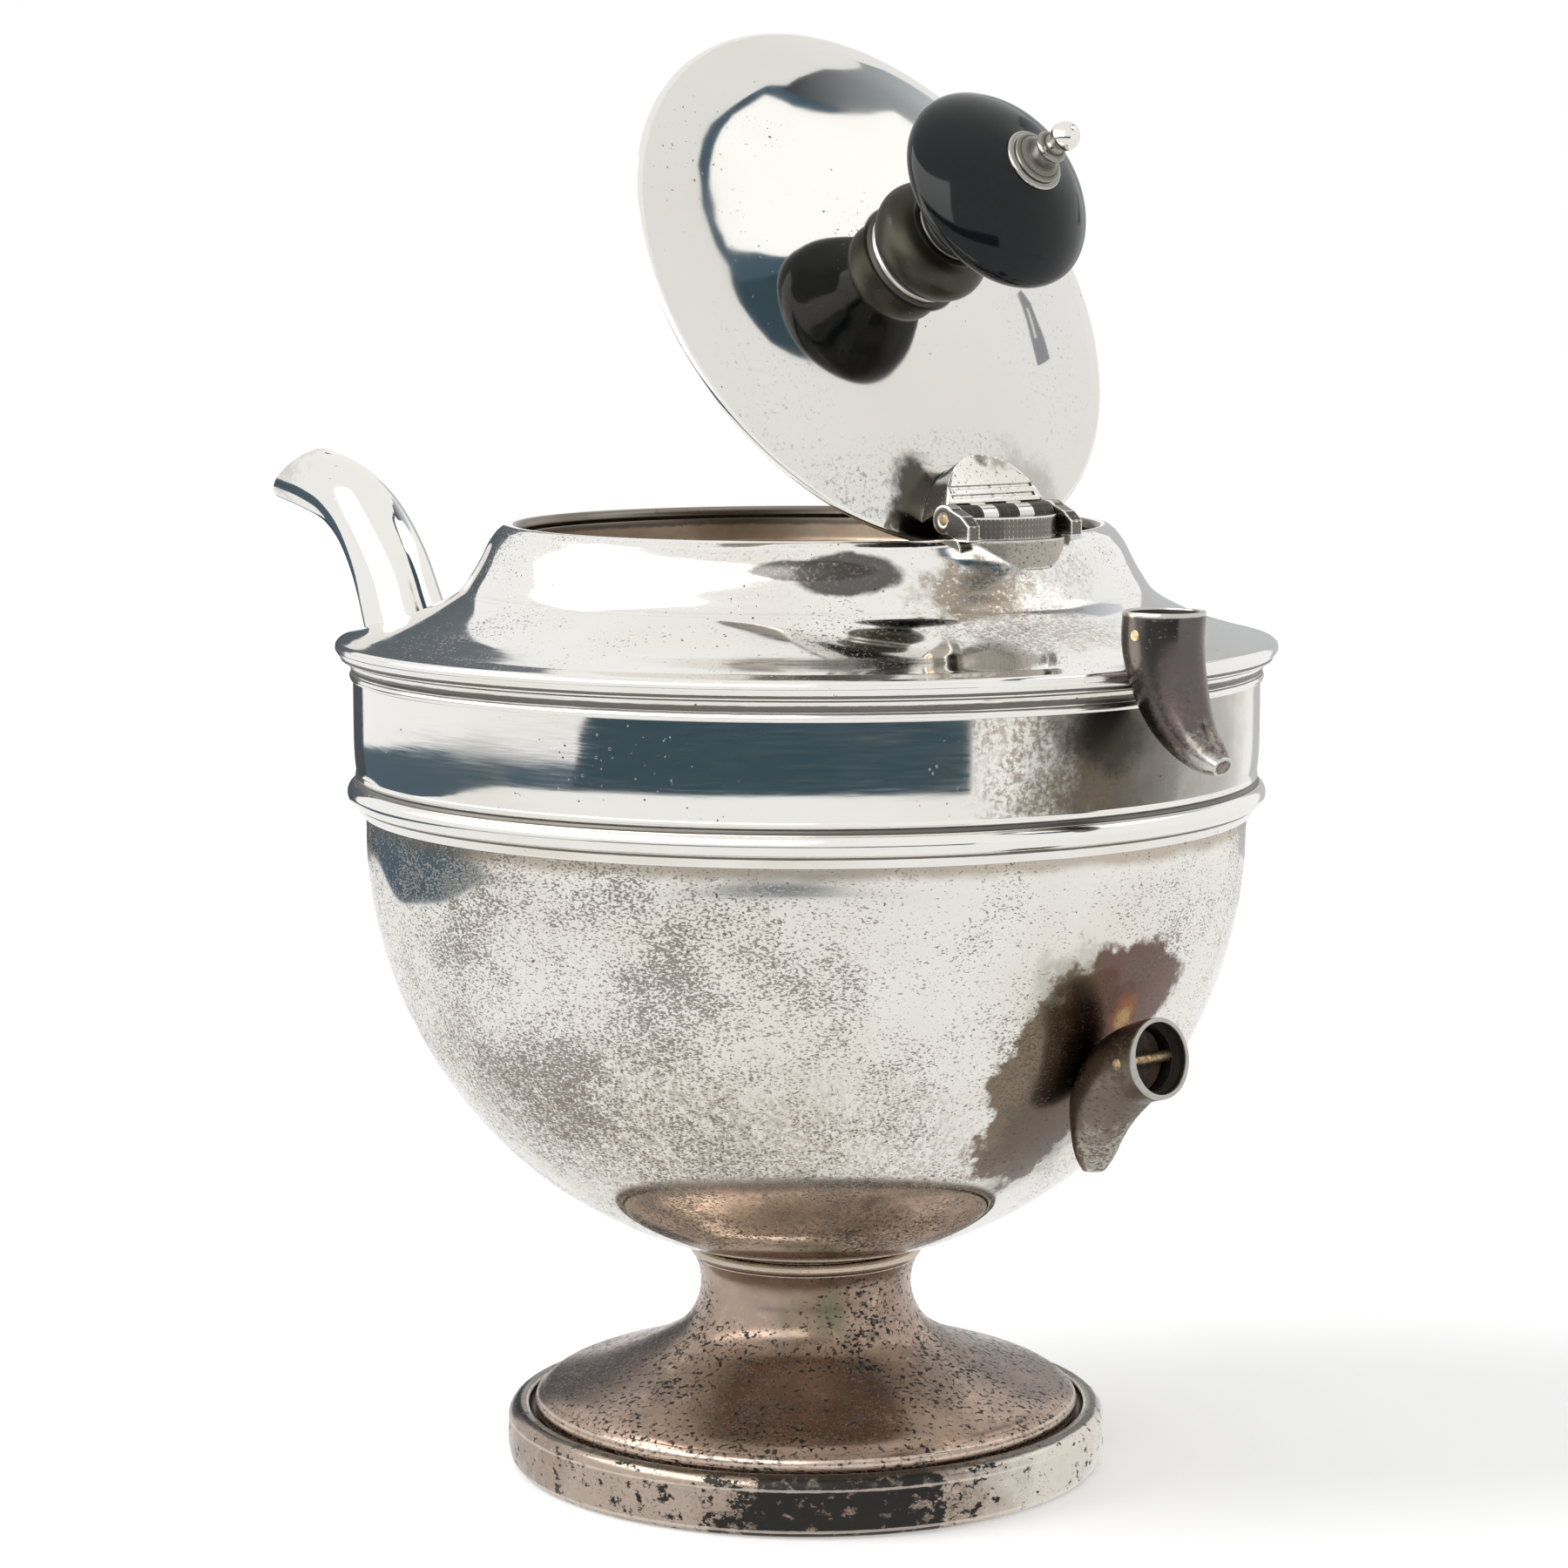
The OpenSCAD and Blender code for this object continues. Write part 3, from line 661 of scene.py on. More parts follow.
LID_MARKS = (
    lambda m: (0.95, (0.05, 0.048, 0.036), 0.3, m.step(m.radius(), 8.7, 8.3)),
    blotch((36.5, -10, 140), (7.5, 4.6, 5), 0.95, (0.05, 0.045, 0.035), 0.12, size=3, ragged=0.35, soft=0.3),
    blotch((29, -2, 142), (2.8, 13, 4), 0.45, (0.13, 0.11, 0.085), size=2, ragged=0.6, offset=4, holes=1.1),
    blotch((36, 12, 140), (7, 6, 5), 0.5, (0.3, 0.28, 0.25), size=4, offset=9),
    blotch((34, -20, 141), (6, 7, 5), 0.6, (0.12, 0.1, 0.075), 0.08, size=2, ragged=0.8, offset=5, holes=1.1),
    blotch((22, -30, 141), (14, 8, 5), 0.45, (0.16, 0.13, 0.1), 0.05, size=2, ragged=0.8, offset=6,
           holes=1.3),
    blotch((14, 24, 142), (16, 8, 5), 0.6, (0.16, 0.13, 0.1), 0.05, size=2, ragged=0.8, offset=7, holes=1.35),
)
SPOUT_MARKS = (
    blotch((-126, 0, 145), (5, 8, 5), 0.4, (0.4, 0.37, 0.32), size=2, ragged=0.8),
)
HINGE_MARKS = (
    blotch((31.5, 0, 143), (1.6, 1.4, 3), 0.85, (0.08, 0.07, 0.055), size=1.5, ragged=0.4),
    blotch((32.5, 3, 143), (1.4, 2.6, 3), 0.6, (0.2, 0.16, 0.12), size=1.5, ragged=0.6),
)
SOCKET_MARKS = (
    blotch((75, 0, 119), (9, 9, 7), 0.6, (0.17, 0.12, 0.11), 0.06, size=3, ragged=0.9, holes=0.7),
    blotch((82, 0, 112), (6, 6, 5), 0.6, (0.4, 0.36, 0.31), 0.06, size=2, ragged=0.9, holes=0.6),
)
SOCKET_LOW_MARKS = (
    blotch((63, 2, 56), (7, 7, 5), 0.7, (0.5, 0.46, 0.4), 0.0, size=2, ragged=0.7, holes=0.4),
)
FINIAL_MARKS = (
    lambda m: (1.0, (0.8, 0.78, 0.73), 0.0, m.step(m.height(), 179.2, 179.5)),
    lambda m: (0.5, (0.62, 0.6, 0.55), 0.0, m.step(m.radius(), 4.3, 4.5)),
)
FOOT_MARKS = (
    blotch((13, -10, 26), (6, 6, 5), 0.6, (0.2, 0.15, 0.09), -0.03, size=4, offset=21),
    blotch((14.5, -8, 26), (2.4, 2.4, 2.6), 0.45, (0.12, 0.15, 0.09), -0.03, size=2, offset=22),
    blotch((4, -16, 28), (9, 9, 4), 0.5, (0.42, 0.33, 0.27), -0.12, size=4, offset=23),
)
FOOT_RIM_MARKS = (
    blotch((36, -28, 3), (16, 16, 10), 0.3, (0.2, 0.15, 0.12), 0.17, size=7, offset=24, ragged=0.3),
    blotch((41, 19, 3), (24, 24, 20), 0.85, (0.74, 0.7, 0.62), 0.0, size=6, offset=25, ragged=0.3),
    blotch((9, -44, 3), (14, 10, 20), 0.6, (0.5, 0.42, 0.35), 0.02, size=6, offset=26, ragged=0.4),
)

looks = {
    "bowl": silver(
        "bowl_silver_look", tint=(0.82, 0.80, 0.75), rough=0.075, film=0.3, specks=0.8, speck_size=0.75,
        grain=1.25, grain_size=0.38, grain_spot=((16, -56, 76), (44, 32, 28)), seed=1,
        film_colour=(0.62, 0.56, 0.47), blotches=BOWL_STAINS_AND_PAINTED_REFLECTION),
    "band": silver(
        "band_silver_look", rough=0.06, film=0.3, specks=0.5, seed=2, scratch=1.0, blotches=BAND_MARKS),
    "moulding": silver(
        "moulding_silver_look", rough=0.08, film=0.5, specks=0.55, grime=0.9, seed=3, scratch=1.0),
    "shoulder": silver(
        "shoulder_silver_look", rough=0.055, film=0.2, specks=0.6, speck_size=0.6, seed=4, grime=0.1,
        grain=0.7, grain_size=0.4, scratch=1.0, blotches=SHOULDER_STAINS_AND_PAINTED_REFLECTION),
    "lid": silver(
        "lid_silver_look", swung=True, tint=(0.735, 0.725, 0.69), rough=0.04, specks=0.6, speck_size=0.6,
        pit=0.0, seed=5, film_colour=(0.68, 0.62, 0.54), blotches=LID_MARKS),
    "spout": silver("spout_silver_look", rough=0.05, film=0.12, seed=6, blotches=SPOUT_MARKS),
    "hinge": silver(
        "hinge_silver_look", swung=True, tint=(0.76, 0.74, 0.69), rough=0.1, film=0.35, specks=0.7,
        grime=1.0, seed=7, grain=0.8, grain_size=0.4, film_colour=(0.42, 0.38, 0.32), scratch=1.0,
        blotches=HINGE_MARKS),
    "hinge_dark": silver(
        "hinge_dark_look", tint=(0.2, 0.185, 0.165), rough=0.16, film=0.6, specks=0.6, grime=1.0,
        seed=13, grain=0.8, grain_size=0.5, film_colour=(0.1, 0.09, 0.075), scratch=1.0, rub=0.9),
    "socket": silver(
        "socket_silver_look", tint=(0.12, 0.105, 0.1), rough=0.18, film=0.9, specks=0.6, grime=0.8,
        seed=8, grain=1.1, grain_size=0.7, film_colour=(0.035, 0.03, 0.028), scratch=0.2, rub=0.6,
        blotches=SOCKET_MARKS),
    "socket_low": silver(
        "low_socket_silver_look", tint=(0.25, 0.21, 0.17), rough=0.2, film=0.9, specks=0.8, grime=0.9,
        seed=14, grain=1.7, grain_size=0.6, film_colour=(0.1, 0.075, 0.055), scratch=0.2, rub=0.45,
        blotches=SOCKET_LOW_MARKS),
    "bore": silver(
        "bore_dark_look", tint=(0.05, 0.043, 0.036), rough=0.45, film=0.6, specks=0.3, grime=0.8,
        seed=15, film_colour=(0.02, 0.018, 0.016), rub=0.0),
    "olive": silver(
        "olive_silver_look", tint=(0.062, 0.06, 0.046), rough=0.34, film=0.8, specks=0.25, grime=0.9,
        seed=9, grain=0.6, grain_size=0.6, film_colour=(0.028, 0.028, 0.02), rub=0.12),
    "finial": silver(
        "finial_silver_look", swung=True, tint=(0.19, 0.18, 0.15), rub=0.15, rough=0.1, film=0.5,
        specks=0.3, grime=1.0, seed=10, film_colour=(0.08, 0.075, 0.06), blotches=FINIAL_MARKS),
    "seat": silver(
        "seat_silver_look", tint=(0.42, 0.39, 0.34), rough=0.2, film=0.7, specks=0.8, speck_size=0.6,
        grime=1.0, seed=12, grain=1.1, grain_size=0.4, film_colour=(0.2, 0.17, 0.13), rub=0.5),
    "foot": foot_silver(
        "foot_tarnish_look", black=0.72, warm=(0.44, 0.325, 0.255), seed=1, flake=0.85, rub=0.45,
        blotches=FOOT_MARKS),
    "foot_rim": foot_silver(
        "foot_rim_tarnish_look", warm=(0.4, 0.31, 0.25), seed=6, flake=2.2, groove=44.2, rub=0.5,
        blotches=FOOT_RIM_MARKS),
    "neck": foot_silver("neck_tarnish_look", black=0.15, warm=(0.42, 0.32, 0.23), seed=9, rub=0.5),
    "inside": stained_inside("inside_stain_look"),
    "ebony": ebony("knob_black_look"),
    "brass": brass("pin_brass_look"),
    "wood": charred("charred_wood_look"),
}


def place(obj, body, slot, look, node):
    """Gives a piece its look and its body, and hides the CAD node that it stands for. Its slot is not used.
    """
    weather(obj)
    obj.data.materials.clear()
    obj.data.materials.append(looks[look])
    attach(obj, body)
    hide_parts(node)


def line_inside(obj, height):
    """Faces that look towards the axis and a point on it get the inside's look."""
    obj.data.materials.append(looks["inside"])
    middle = Vector((0, 0, height)) * MM
    for face in obj.data.polygons:
        outward = Vector((face.center.x, face.center.y, 0))
        if face.normal.dot(middle - face.center) > 0 and face.normal.dot(outward) < 0:
            face.material_index = 1


# ---------------------------------------------------------------- foot
foot_r = outer_radius("foot_rim")
rim = [(41.2, 0), (foot_r - 1.4, 0), (foot_r - 0.4, 1), (foot_r, 3)]
rim += arc((foot_r - 2.2, 6.8), 2.2, 10, 115, 14)
rim += [(42.2, 8.1), (41.6, 7.6), (39.9, 7.7), (39.9, 6.8)]
foot_rim = lathe("foot_rim_turned", rim, step=0.6, corner=0.4)
dent_turned(foot_rim, 0.12, 22, 1, keep=(1, 9))

dome = [(41.2, 8), (41.2, 9.6), (40.9, 10.3)]
dome += spline([(40.2, 10.9), (38.5, 12), (34.1, 13.5), (29.7, 15), (25.6, 16.6), (22.1, 18.3), (19.4, 20),
                (17.6, 22), (16.5, 24.3), (16, 27), (16.3, 29.6), (17, 31.5)])
foot_dome = lathe("foot_dome_spun", walled(dome, 1.0), step=0.7, corner=0.35)
dent_turned(foot_dome, 0.16, 18, 2, keep=(9, 31))

collar = [(15.4, 31.5), (17.0, 31.5)] + arc((16.7, 32.5), 0.9, -70, 70, 8) + [(16.6, 33.35), (15.4, 33.1)]
neck = lathe("neck_collar_beaded", collar, step=0.4, corner=0.15)

place(foot_rim, "pot", "tarnished_foot", "foot_rim", "foot_rim")
place(foot_dome, "pot", "tarnished_foot", "foot", "foot_dome")
place(neck, "pot", "tarnished_foot", "neck", "neck_collar")

# ---------------------------------------------------------------- bowl
BOWL_R, BOWL_Z, WALL = 65.7, 97.0, 1.1
SEAM_Z = 102.6
outer = arc((0, BOWL_Z), BOWL_R, -90, 0, 100) + [(65.8, 99.8), (65.9, SEAM_Z)]
inner = [(64.8, SEAM_Z)] + arc((0, BOWL_Z), BOWL_R - WALL, 0, -90, 100)
bowl = lathe("bowl_raised", outer + inner, step=1.2, segments=320, corner=0.2)
dent_turned(bowl, 0.22, 30, 3, keep=(36, 99))


def drill(centre, radius):
    """A closed bar along X, to cut a hole with."""
    t = np.arange(32) * 2 * math.pi / 32
    ends = [[(x, centre[1] + radius * math.cos(a), centre[2] + radius * math.sin(a)) for a in t]
            for x in (centre[0] - 8, centre[0] + 8)]
    return loft("drill", ends, caps=True)


STRAINER_X, STRAINER_Z, STRAINER_PITCH, STRAINER_R = -62, 84.0, 5.4, 1.7
places = [np.array((0, STRAINER_Z))] + arc((0, STRAINER_Z), STRAINER_PITCH, 0, 300, 5)
holes = [(STRAINER_X, y, z) for y, z in places]
cut(bowl, *[drill(h, STRAINER_R) for h in holes])
tidy(bowl)
place(bowl, "pot", "worn_silver", "bowl", "bowl")
line_inside(bowl, 110)

# ---------------------------------------------------------------- band, mouldings, shoulder, mouth
girdle_r, flange_r = outer_radius("girdle_moulding"), outer_radius("flange_moulding")
girdle = [(65.8, 99.6), (66.4, 99.7)] + arc((girdle_r - 1.7, 102.9), 1.7, -80, 72, 14)
girdle += [(67.0, 104.9), (67.3, 105.4), (67.2, 106), (66.9, 106.2), (65.9, 102.6)]
girdle = lathe("girdle_half_round", girdle, step=0.35, corner=0.12)
BAND_R, BAND_TOP_Z, BAND_DRAW_IN = 67.5, 121, 1.6
band_path = [np.array((BAND_R - BAND_DRAW_IN * ((BAND_TOP_Z - z) / (BAND_TOP_Z - SEAM_Z)) ** 7, z))
             for z in np.linspace(SEAM_Z, BAND_TOP_Z, 24)]
band = lathe("band_drawn", band_path + [p - np.array((WALL, 0)) for p in band_path[::-1]])
dent_turned(band, 0.06, 26, 4, keep=(104, 119))
flange = [(67.4, 119.6), (67.9, 119.8), (68.05, 120.3)]
flange += spline([(67.8, 120.8), (67.9, 121.6), (68.7, 122.6)], 5)
flange += [(69.3, 122.8), (69.35, 123.2), (flange_r - 0.3, 123.7), (flange_r, 124.2)]
flange += [(flange_r - 0.05, 124.9), (66.4, 124.9), (66.4, 121), (67.45, 121)]
flange = lathe("flange_stepped", flange, step=0.35, corner=0.12)
shoulder_path = [(flange_r - 0.02, 124.9), (flange_r - 0.5, 125.4)]
shoulder_path += spline([(67, 126), (60.6, 127.9), (55.6, 130), (51.8, 132.3), (49.8, 135), (48.5, 137.2),
                         (47.3, 139.6), (46, 141.4)])
shoulder_path += arc((44.3, 141), 1.4, 50, 180, 12)
shoulder = lathe("shoulder_raised", walled(shoulder_path, 1.0), step=0.6, segments=320, corner=0.2)
dent_turned(shoulder, 0.12, 24, 5, keep=(125.5, 141))
ledge = [(40.6, 135.9), (43.9, 135.9), (43.9, 140.5), (42.9, 140.5), (42.9, 136.9), (40.6, 136.9)]
mouth = lathe("mouth_ring_soldered", ledge, step=0.5, corner=0.2)
place(girdle, "pot", "worn_silver", "moulding", "girdle_moulding")
place(band, "pot", "bright_silver", "band", "band")
place(flange, "pot", "bright_silver", "moulding", "flange_moulding")
place(shoulder, "pot", "bright_silver", "shoulder", "shoulder")
place(mouth, "pot", "stained_interior", "inside", "mouth_ring")
line_inside(band, 110)
line_inside(shoulder, 120)

# ---------------------------------------------------------------- spout
spout_line = [(-56, 82, 84, 12.5, 12.5), (-66, 84, 74, 12, 11.5), (-75, 87.5, 62, 11, 10.2),
              (-82.5, 92.5, 50, 9.9, 9.2), (-88.5, 99, 36, 9, 8.6), (-92.8, 107, 26, 8.2, 8.1),
              (-96, 115, 23, 7.5, 7.5), (-99.6, 123.2, 25, 6.9, 6.9), (-103.4, 131, 32, 6.5, 6.5),
              (-108.3, 137.2, 45, 6.1, 6.1), (-114, 141.2, 57, 5.8, 5.8), (-119.5, 143.2, 59, 5.8, 5.6),
              (-124, 144.2, 50, 6.1, 5.5), (-126.97, 144.9, 40, 6.9, 5.4)]
fine_line = spline(spout_line)
outside = [ring(x, z, t, a, b) for x, z, t, a, b in fine_line]
inside = [ring(x, z, t, a - 0.9, b - 0.9) for x, z, t, a, b in fine_line]
x, z, t, a, b = fine_line[-1]
lip = [ring(x - 0.15, z + 0.03, t, a - 0.2, b - 0.2), ring(x - 0.2, z + 0.05, t, a - 0.45, b - 0.45),
       ring(x - 0.15, z + 0.03, t, a - 0.7, b - 0.7)]
spout = loft("spout_raised", outside + lip + inside[::-1], outside=(BOWL_Z, BOWL_R))
dent(spout, 0.08, 16, 6)
place(spout, "pot", "bright_silver", "spout", "spout")

# ---------------------------------------------------------------- handle sockets
CAVITY_R, BORE_R, BORE_H, CAVITY_H = 4.5, 5.0, 2.2, 7.0
LOWER_TILT = math.radians(10)
UPPER_MOUTH, UPPER_AXIS = (72.5, 133.6), (0, 1)
LOWER_MOUTH, LOWER_AXIS = (72.9, 71.5), (math.cos(LOWER_TILT), math.sin(LOWER_TILT))


def horn(name, line, mouth_centre, axis, on_bowl):
    """A curved horn, bored at its wide end, from its mouth to its closed tip. On the bowl, what would
    reach through the sheet is pushed back to it."""
    x0, z0 = mouth_centre
    tilt = line[0][2]
    ux, uz = axis

    def across(depth, radius):
        return ring(x0 - ux * depth, z0 - uz * depth, tilt, radius, radius)
    rings = [across(CAVITY_H, 0.01), across(CAVITY_H, CAVITY_R * 0.6), across(CAVITY_H, CAVITY_R - 0.1)]
    rings += [across(d, CAVITY_R) for d in (CAVITY_H - 0.2, 5.5, 4, 3, BORE_H + 0.1)]
    rings += [across(BORE_H, CAVITY_R + 0.1), across(BORE_H, BORE_R), across(1, BORE_R), across(0.25, BORE_R)]
    rings += [across(0.07, BORE_R + 0.07), across(0, BORE_R + 0.25)]
    fine = spline(line, 7)
    x, z, t, a, b = fine[0]
    rings += [ring(x, z, t, a - 0.25, b - 0.25), ring(x - ux * 0.08, z - uz * 0.08, t, a - 0.07, b - 0.07)]
    rings += [ring(*f) for f in fine[1:]]
    x, z, t, a, b = fine[-1]
    step_x, step_z = np.array(fine[-1][:2]) - np.array(fine[-2][:2])
    for k in (0.35, 0.6, 0.75):
        s = math.sqrt(1 - (k / 0.78) ** 2)
        rings.append(ring(x + step_x * k, z + step_z * k, t, a * s, b * s))
    obj = loft(name, rings, caps=True)
    centre, least = Vector((0, 0, BOWL_Z)) * MM, (BOWL_R - 0.6) * MM
    for v in obj.data.vertices:
        if on_bowl and (v.co - centre).length < least:
            v.co = centre + (v.co - centre).normalized() * least
    dent(obj, 0.1, 6, 7)
    return obj


UPPER_LINE = [(72.5, 133.6, 0, 5.75, 5.75), (72.4, 129.2, 5, 5.7, 5.7), (73.4, 124.4, 17, 5.3, 5.3),
              (75.5, 119.7, 32, 4.5, 4.6), (78.3, 116.2, 46, 3.4, 3.7), (81.4, 114, 58, 2.4, 2.8),
              (83.6, 113, 66, 1.4, 1.8)]
upper = horn("upper_socket_horn", UPPER_LINE, UPPER_MOUTH, UPPER_AXIS, False)
LOWER_LINE = [(72.9, 71.5, 100, 5.75, 5.75), (68.2, 69.9, 108, 5.7, 5.7), (64.6, 67.1, 130, 5.5, 5.5),
              (61.8, 63, 150, 4.8, 4.8), (60.7, 59.2, 165, 3.7, 3.9), (60.3, 56, 174, 2.7, 3),
              (60.2, 53.8, 178, 1.5, 1.8)]
lower = horn("lower_socket_horn", LOWER_LINE, LOWER_MOUTH, LOWER_AXIS, True)
place(upper, "pot", "dark_silver", "socket", "upper_socket")
place(lower, "pot", "dark_silver", "socket_low", "lower_socket")
for obj, mouth_centre, axis in ((upper, UPPER_MOUTH, UPPER_AXIS), (lower, LOWER_MOUTH, LOWER_AXIS)):
    obj.data.materials.append(looks["bore"])
    start, along = Vector((mouth_centre[0], 0, mouth_centre[1])) * MM, Vector((axis[0], 0, axis[1]))
    for face in obj.data.polygons:
        offset = face.center - start
        depth = -offset.dot(along)
        across = (offset + along * depth).length
        if 0.3 * MM < depth < (CAVITY_H + 0.2) * MM and across < (BORE_R + 0.12) * MM:
            face.material_index = 1
for name in ("upper_socket_pin", "lower_socket_pin"):
    pin = copy_of(name, name + "_riveted", 0.15)
    place(pin, "pot", "pin_brass", "brass", name)
stub = copy_of("tenon_remnant", "tenon_stub_splintered", 0.2)
dent(stub, 0.12, 0.9)
place(stub, "pot", "charred_wood", "wood", "tenon_remnant")

# ---------------------------------------------------------------- hinge
for node, body, slot, look, bevel in (
        ("hinge_seat", "pot", "bright_silver", "seat", 0.2),
        ("hinge_body_leaf", "pot", "bright_silver", "hinge_dark", 0.28),
        ("hinge_body_knuckles", "pot", "dark_silver", "olive", 0.12),
        ("hinge_pin", "pot", "pin_brass", "brass", 0.1),
        ("hinge_lid_leaf", "lid", "bright_silver", "hinge", 0.12),
        ("hinge_lid_knuckles", "lid", "bright_silver", "hinge", 0.12)):
    place(copy_of(node, node + "_filed", bevel), body, slot, look, node)

# ---------------------------------------------------------------- lid, in its closed place, then swung open
LID_Z, BUN_Z, ROD_R = 138.3, 147.5, 1.6


def lifted(height, outline):
    """An outline moved up by a height."""
    return [(r, z + height) for r, z in outline]


lid_rise = spline([(38.6, 1.5), (33, 3.2), (26, 4.7), (19, 5.9), (14, 6.75), (11, 7.3), (9.2, 7.62),
                   (7.9, 7.85)], 8)
lid_path = lifted(LID_Z, [(42.2, -0.5), (41.9, 0)] + lid_rise + [(7.6, 8.2)])
lid_path += [(7.5, BUN_Z), (5.0, BUN_Z), (ROD_R, BUN_Z)]
LID_WALL = 0.9
lid = lathe("lid_raised", walled(lid_path, LID_WALL), step=0.7, segments=320, corner=0.2)
dent(lid, 0.035, 20, 8)

BUN_TOP, KNOB_Z, FINIAL_Z = 155.1, 158.5, 174.1
BUN_H, STEM_H, KNOB_H, WASHER_H = BUN_TOP - BUN_Z, KNOB_Z - BUN_TOP, FINIAL_Z - KNOB_Z, 0.8
bun_side = spline([(7.6, 0.2), (8.5, 1.3), (9.1, 2.7), (9.2, 4), (8.8, 5.4), (7.7, 6.7), (6.2, BUN_H)])
bun_path = [(ROD_R, 0), (7.4, 0)] + bun_side + [(ROD_R, BUN_H)]
bun = lathe("knob_bun", lifted(BUN_Z, bun_path), step=0.35, corner=0.3, segments=160)
dent(bun, 0.05, 5, 9)
stem_path = [(ROD_R, 0), (5.4, 0), (5.5, 0.6), (4.8, 0.9), (4.9, 1.5), (4.3, 2), (4.45, STEM_H),
             (ROD_R, STEM_H)]
stem = lathe("knob_collar_turned", lifted(BUN_TOP, stem_path), step=0.3, corner=0.25, segments=128)
knob_side = spline([(7.5, 1.7), (11, 3.6), (14.2, 5.4), (15.3, 7.3), (14.8, 9.2), (12.6, 11.6), (9.2, 13.8),
                    (5.4, 15.3), (4.6, KNOB_H)], 8)
knob_path = [(ROD_R, 0), (5.2, 0)] + knob_side + [(ROD_R, KNOB_H)]
knob = lathe("knob_turned", lifted(KNOB_Z, knob_path), step=0.5, corner=0.3, segments=192)
washer_path = [(ROD_R, 0), (4.65, 0), (4.65, 0.45), (4.2, WASHER_H), (ROD_R, WASHER_H)]
washer = lathe("finial_washer_stepped", lifted(FINIAL_Z, washer_path), step=0.25, corner=0.15, segments=128)
NUT_WASHER_H, ROD_BELOW = 0.8, 3.4
ROD_END = BUN_Z - LID_WALL - NUT_WASHER_H - ROD_BELOW
finial_path = [(1.5, WASHER_H), (3.9, WASHER_H), (3.9, 1.15)]
finial_path += spline([(3.3, 1.45), (2.4, 2.1), (1.9, 2.8), (1.8, 3.4)], 5)
finial_path += [(2.4, 3.7), (2.5, 4.05), (2.3, 4.4), (1.6, 4.7), (1.25, 5.2)]
finial_path += arc((0, 7.1), 2.05, -58, 90, 16)
finial_path = [(0, ROD_END), (1.3, ROD_END), (1.5, ROD_END + 0.3)] + lifted(FINIAL_Z, finial_path)
finial = lathe("finial_ball", finial_path, step=0.2, corner=0.12, segments=96)
for obj, slot, look, node in (
        (lid, "bright_silver", "lid", "lid"), (bun, "olive_silver", "olive", "knob_base"),
        (stem, "olive_silver", "olive", "knob_collar"), (knob, "black_knob", "ebony", "knob"),
        (washer, "worn_silver", "finial", "finial_washer"), (finial, "worn_silver", "finial", "finial")):
    obj.data.transform(SWING)
    place(obj, "lid", slot, look, node)
underside = SWING.to_3x3() @ Vector((0, 0, -1))
for face in lid.data.polygons:
    if face.normal.dot(underside) > 0.5:
        if len(lid.data.materials) < 2:
            lid.data.materials.append(looks["inside"])
        face.material_index = 1
for node, look, slot in (("nut_washer", "finial", "worn_silver"), ("knob_nut", "brass", "pin_brass")):
    place(copy_of(node, node + "_filed", 0.15), "lid", slot, look, node)

# ---------------------------------------------------------------- studio
def paper(name, colour, glow):
    m = Look(name, metallic=0.0)
    m.set("Base Color", colour)
    m.set("Roughness", 0.8)
    m.set("Emission Color", colour)
    m.set("Emission Strength", glow)
    return m.material


PAPER = (0.86, 0.86, 0.86)
FLOOR_REACH, FLOOR_GLOW, TABLE_GLOW, TABLE_Z = 6000, 0.32, 0.2, -0.2
# The table that the silver mirrors is a disc, drawn in at one side by a notch.
TABLE_R, NOTCH_R, NOTCH_AT, NOTCH_WIDTH = 640, 400, math.radians(248), 0.45
corners = [(-FLOOR_REACH, -FLOOR_REACH, 0), (FLOOR_REACH, -FLOOR_REACH, 0), (FLOOR_REACH, FLOOR_REACH, 0),
           (-FLOOR_REACH, FLOOR_REACH, 0)]
floor = piece("floor", corners, [(0, 1, 2, 3)])
floor.data.materials.append(paper("floor_paper", PAPER, FLOOR_GLOW))
floor.visible_glossy = False
t = np.arange(120) * 2 * math.pi / 120
reach = TABLE_R - (TABLE_R - NOTCH_R) * np.exp(-((t - NOTCH_AT) / NOTCH_WIDTH) ** 4)
table_top = piece("table_top", [(r * math.cos(a - HANDLE_ANGLE), r * math.sin(a - HANDLE_ANGLE), TABLE_Z)
                                for a, r in zip(t, reach)], [tuple(range(120))])
table_top.data.materials.append(paper("table_paper", PAPER, TABLE_GLOW))
table_top.visible_camera = False
table_top.visible_shadow = False


def aim(azimuth, elevation, distance, eye=(0, 0, 100)):
    """A point as seen from the eye: azimuth from the camera's side, positive to the right of the picture."""
    a, e = math.radians(azimuth) - HANDLE_ANGLE, math.radians(elevation)
    return (eye[0] + distance * math.cos(a) * math.cos(e), eye[1] + distance * math.sin(a) * math.cos(e),
            eye[2] + distance * math.sin(e))


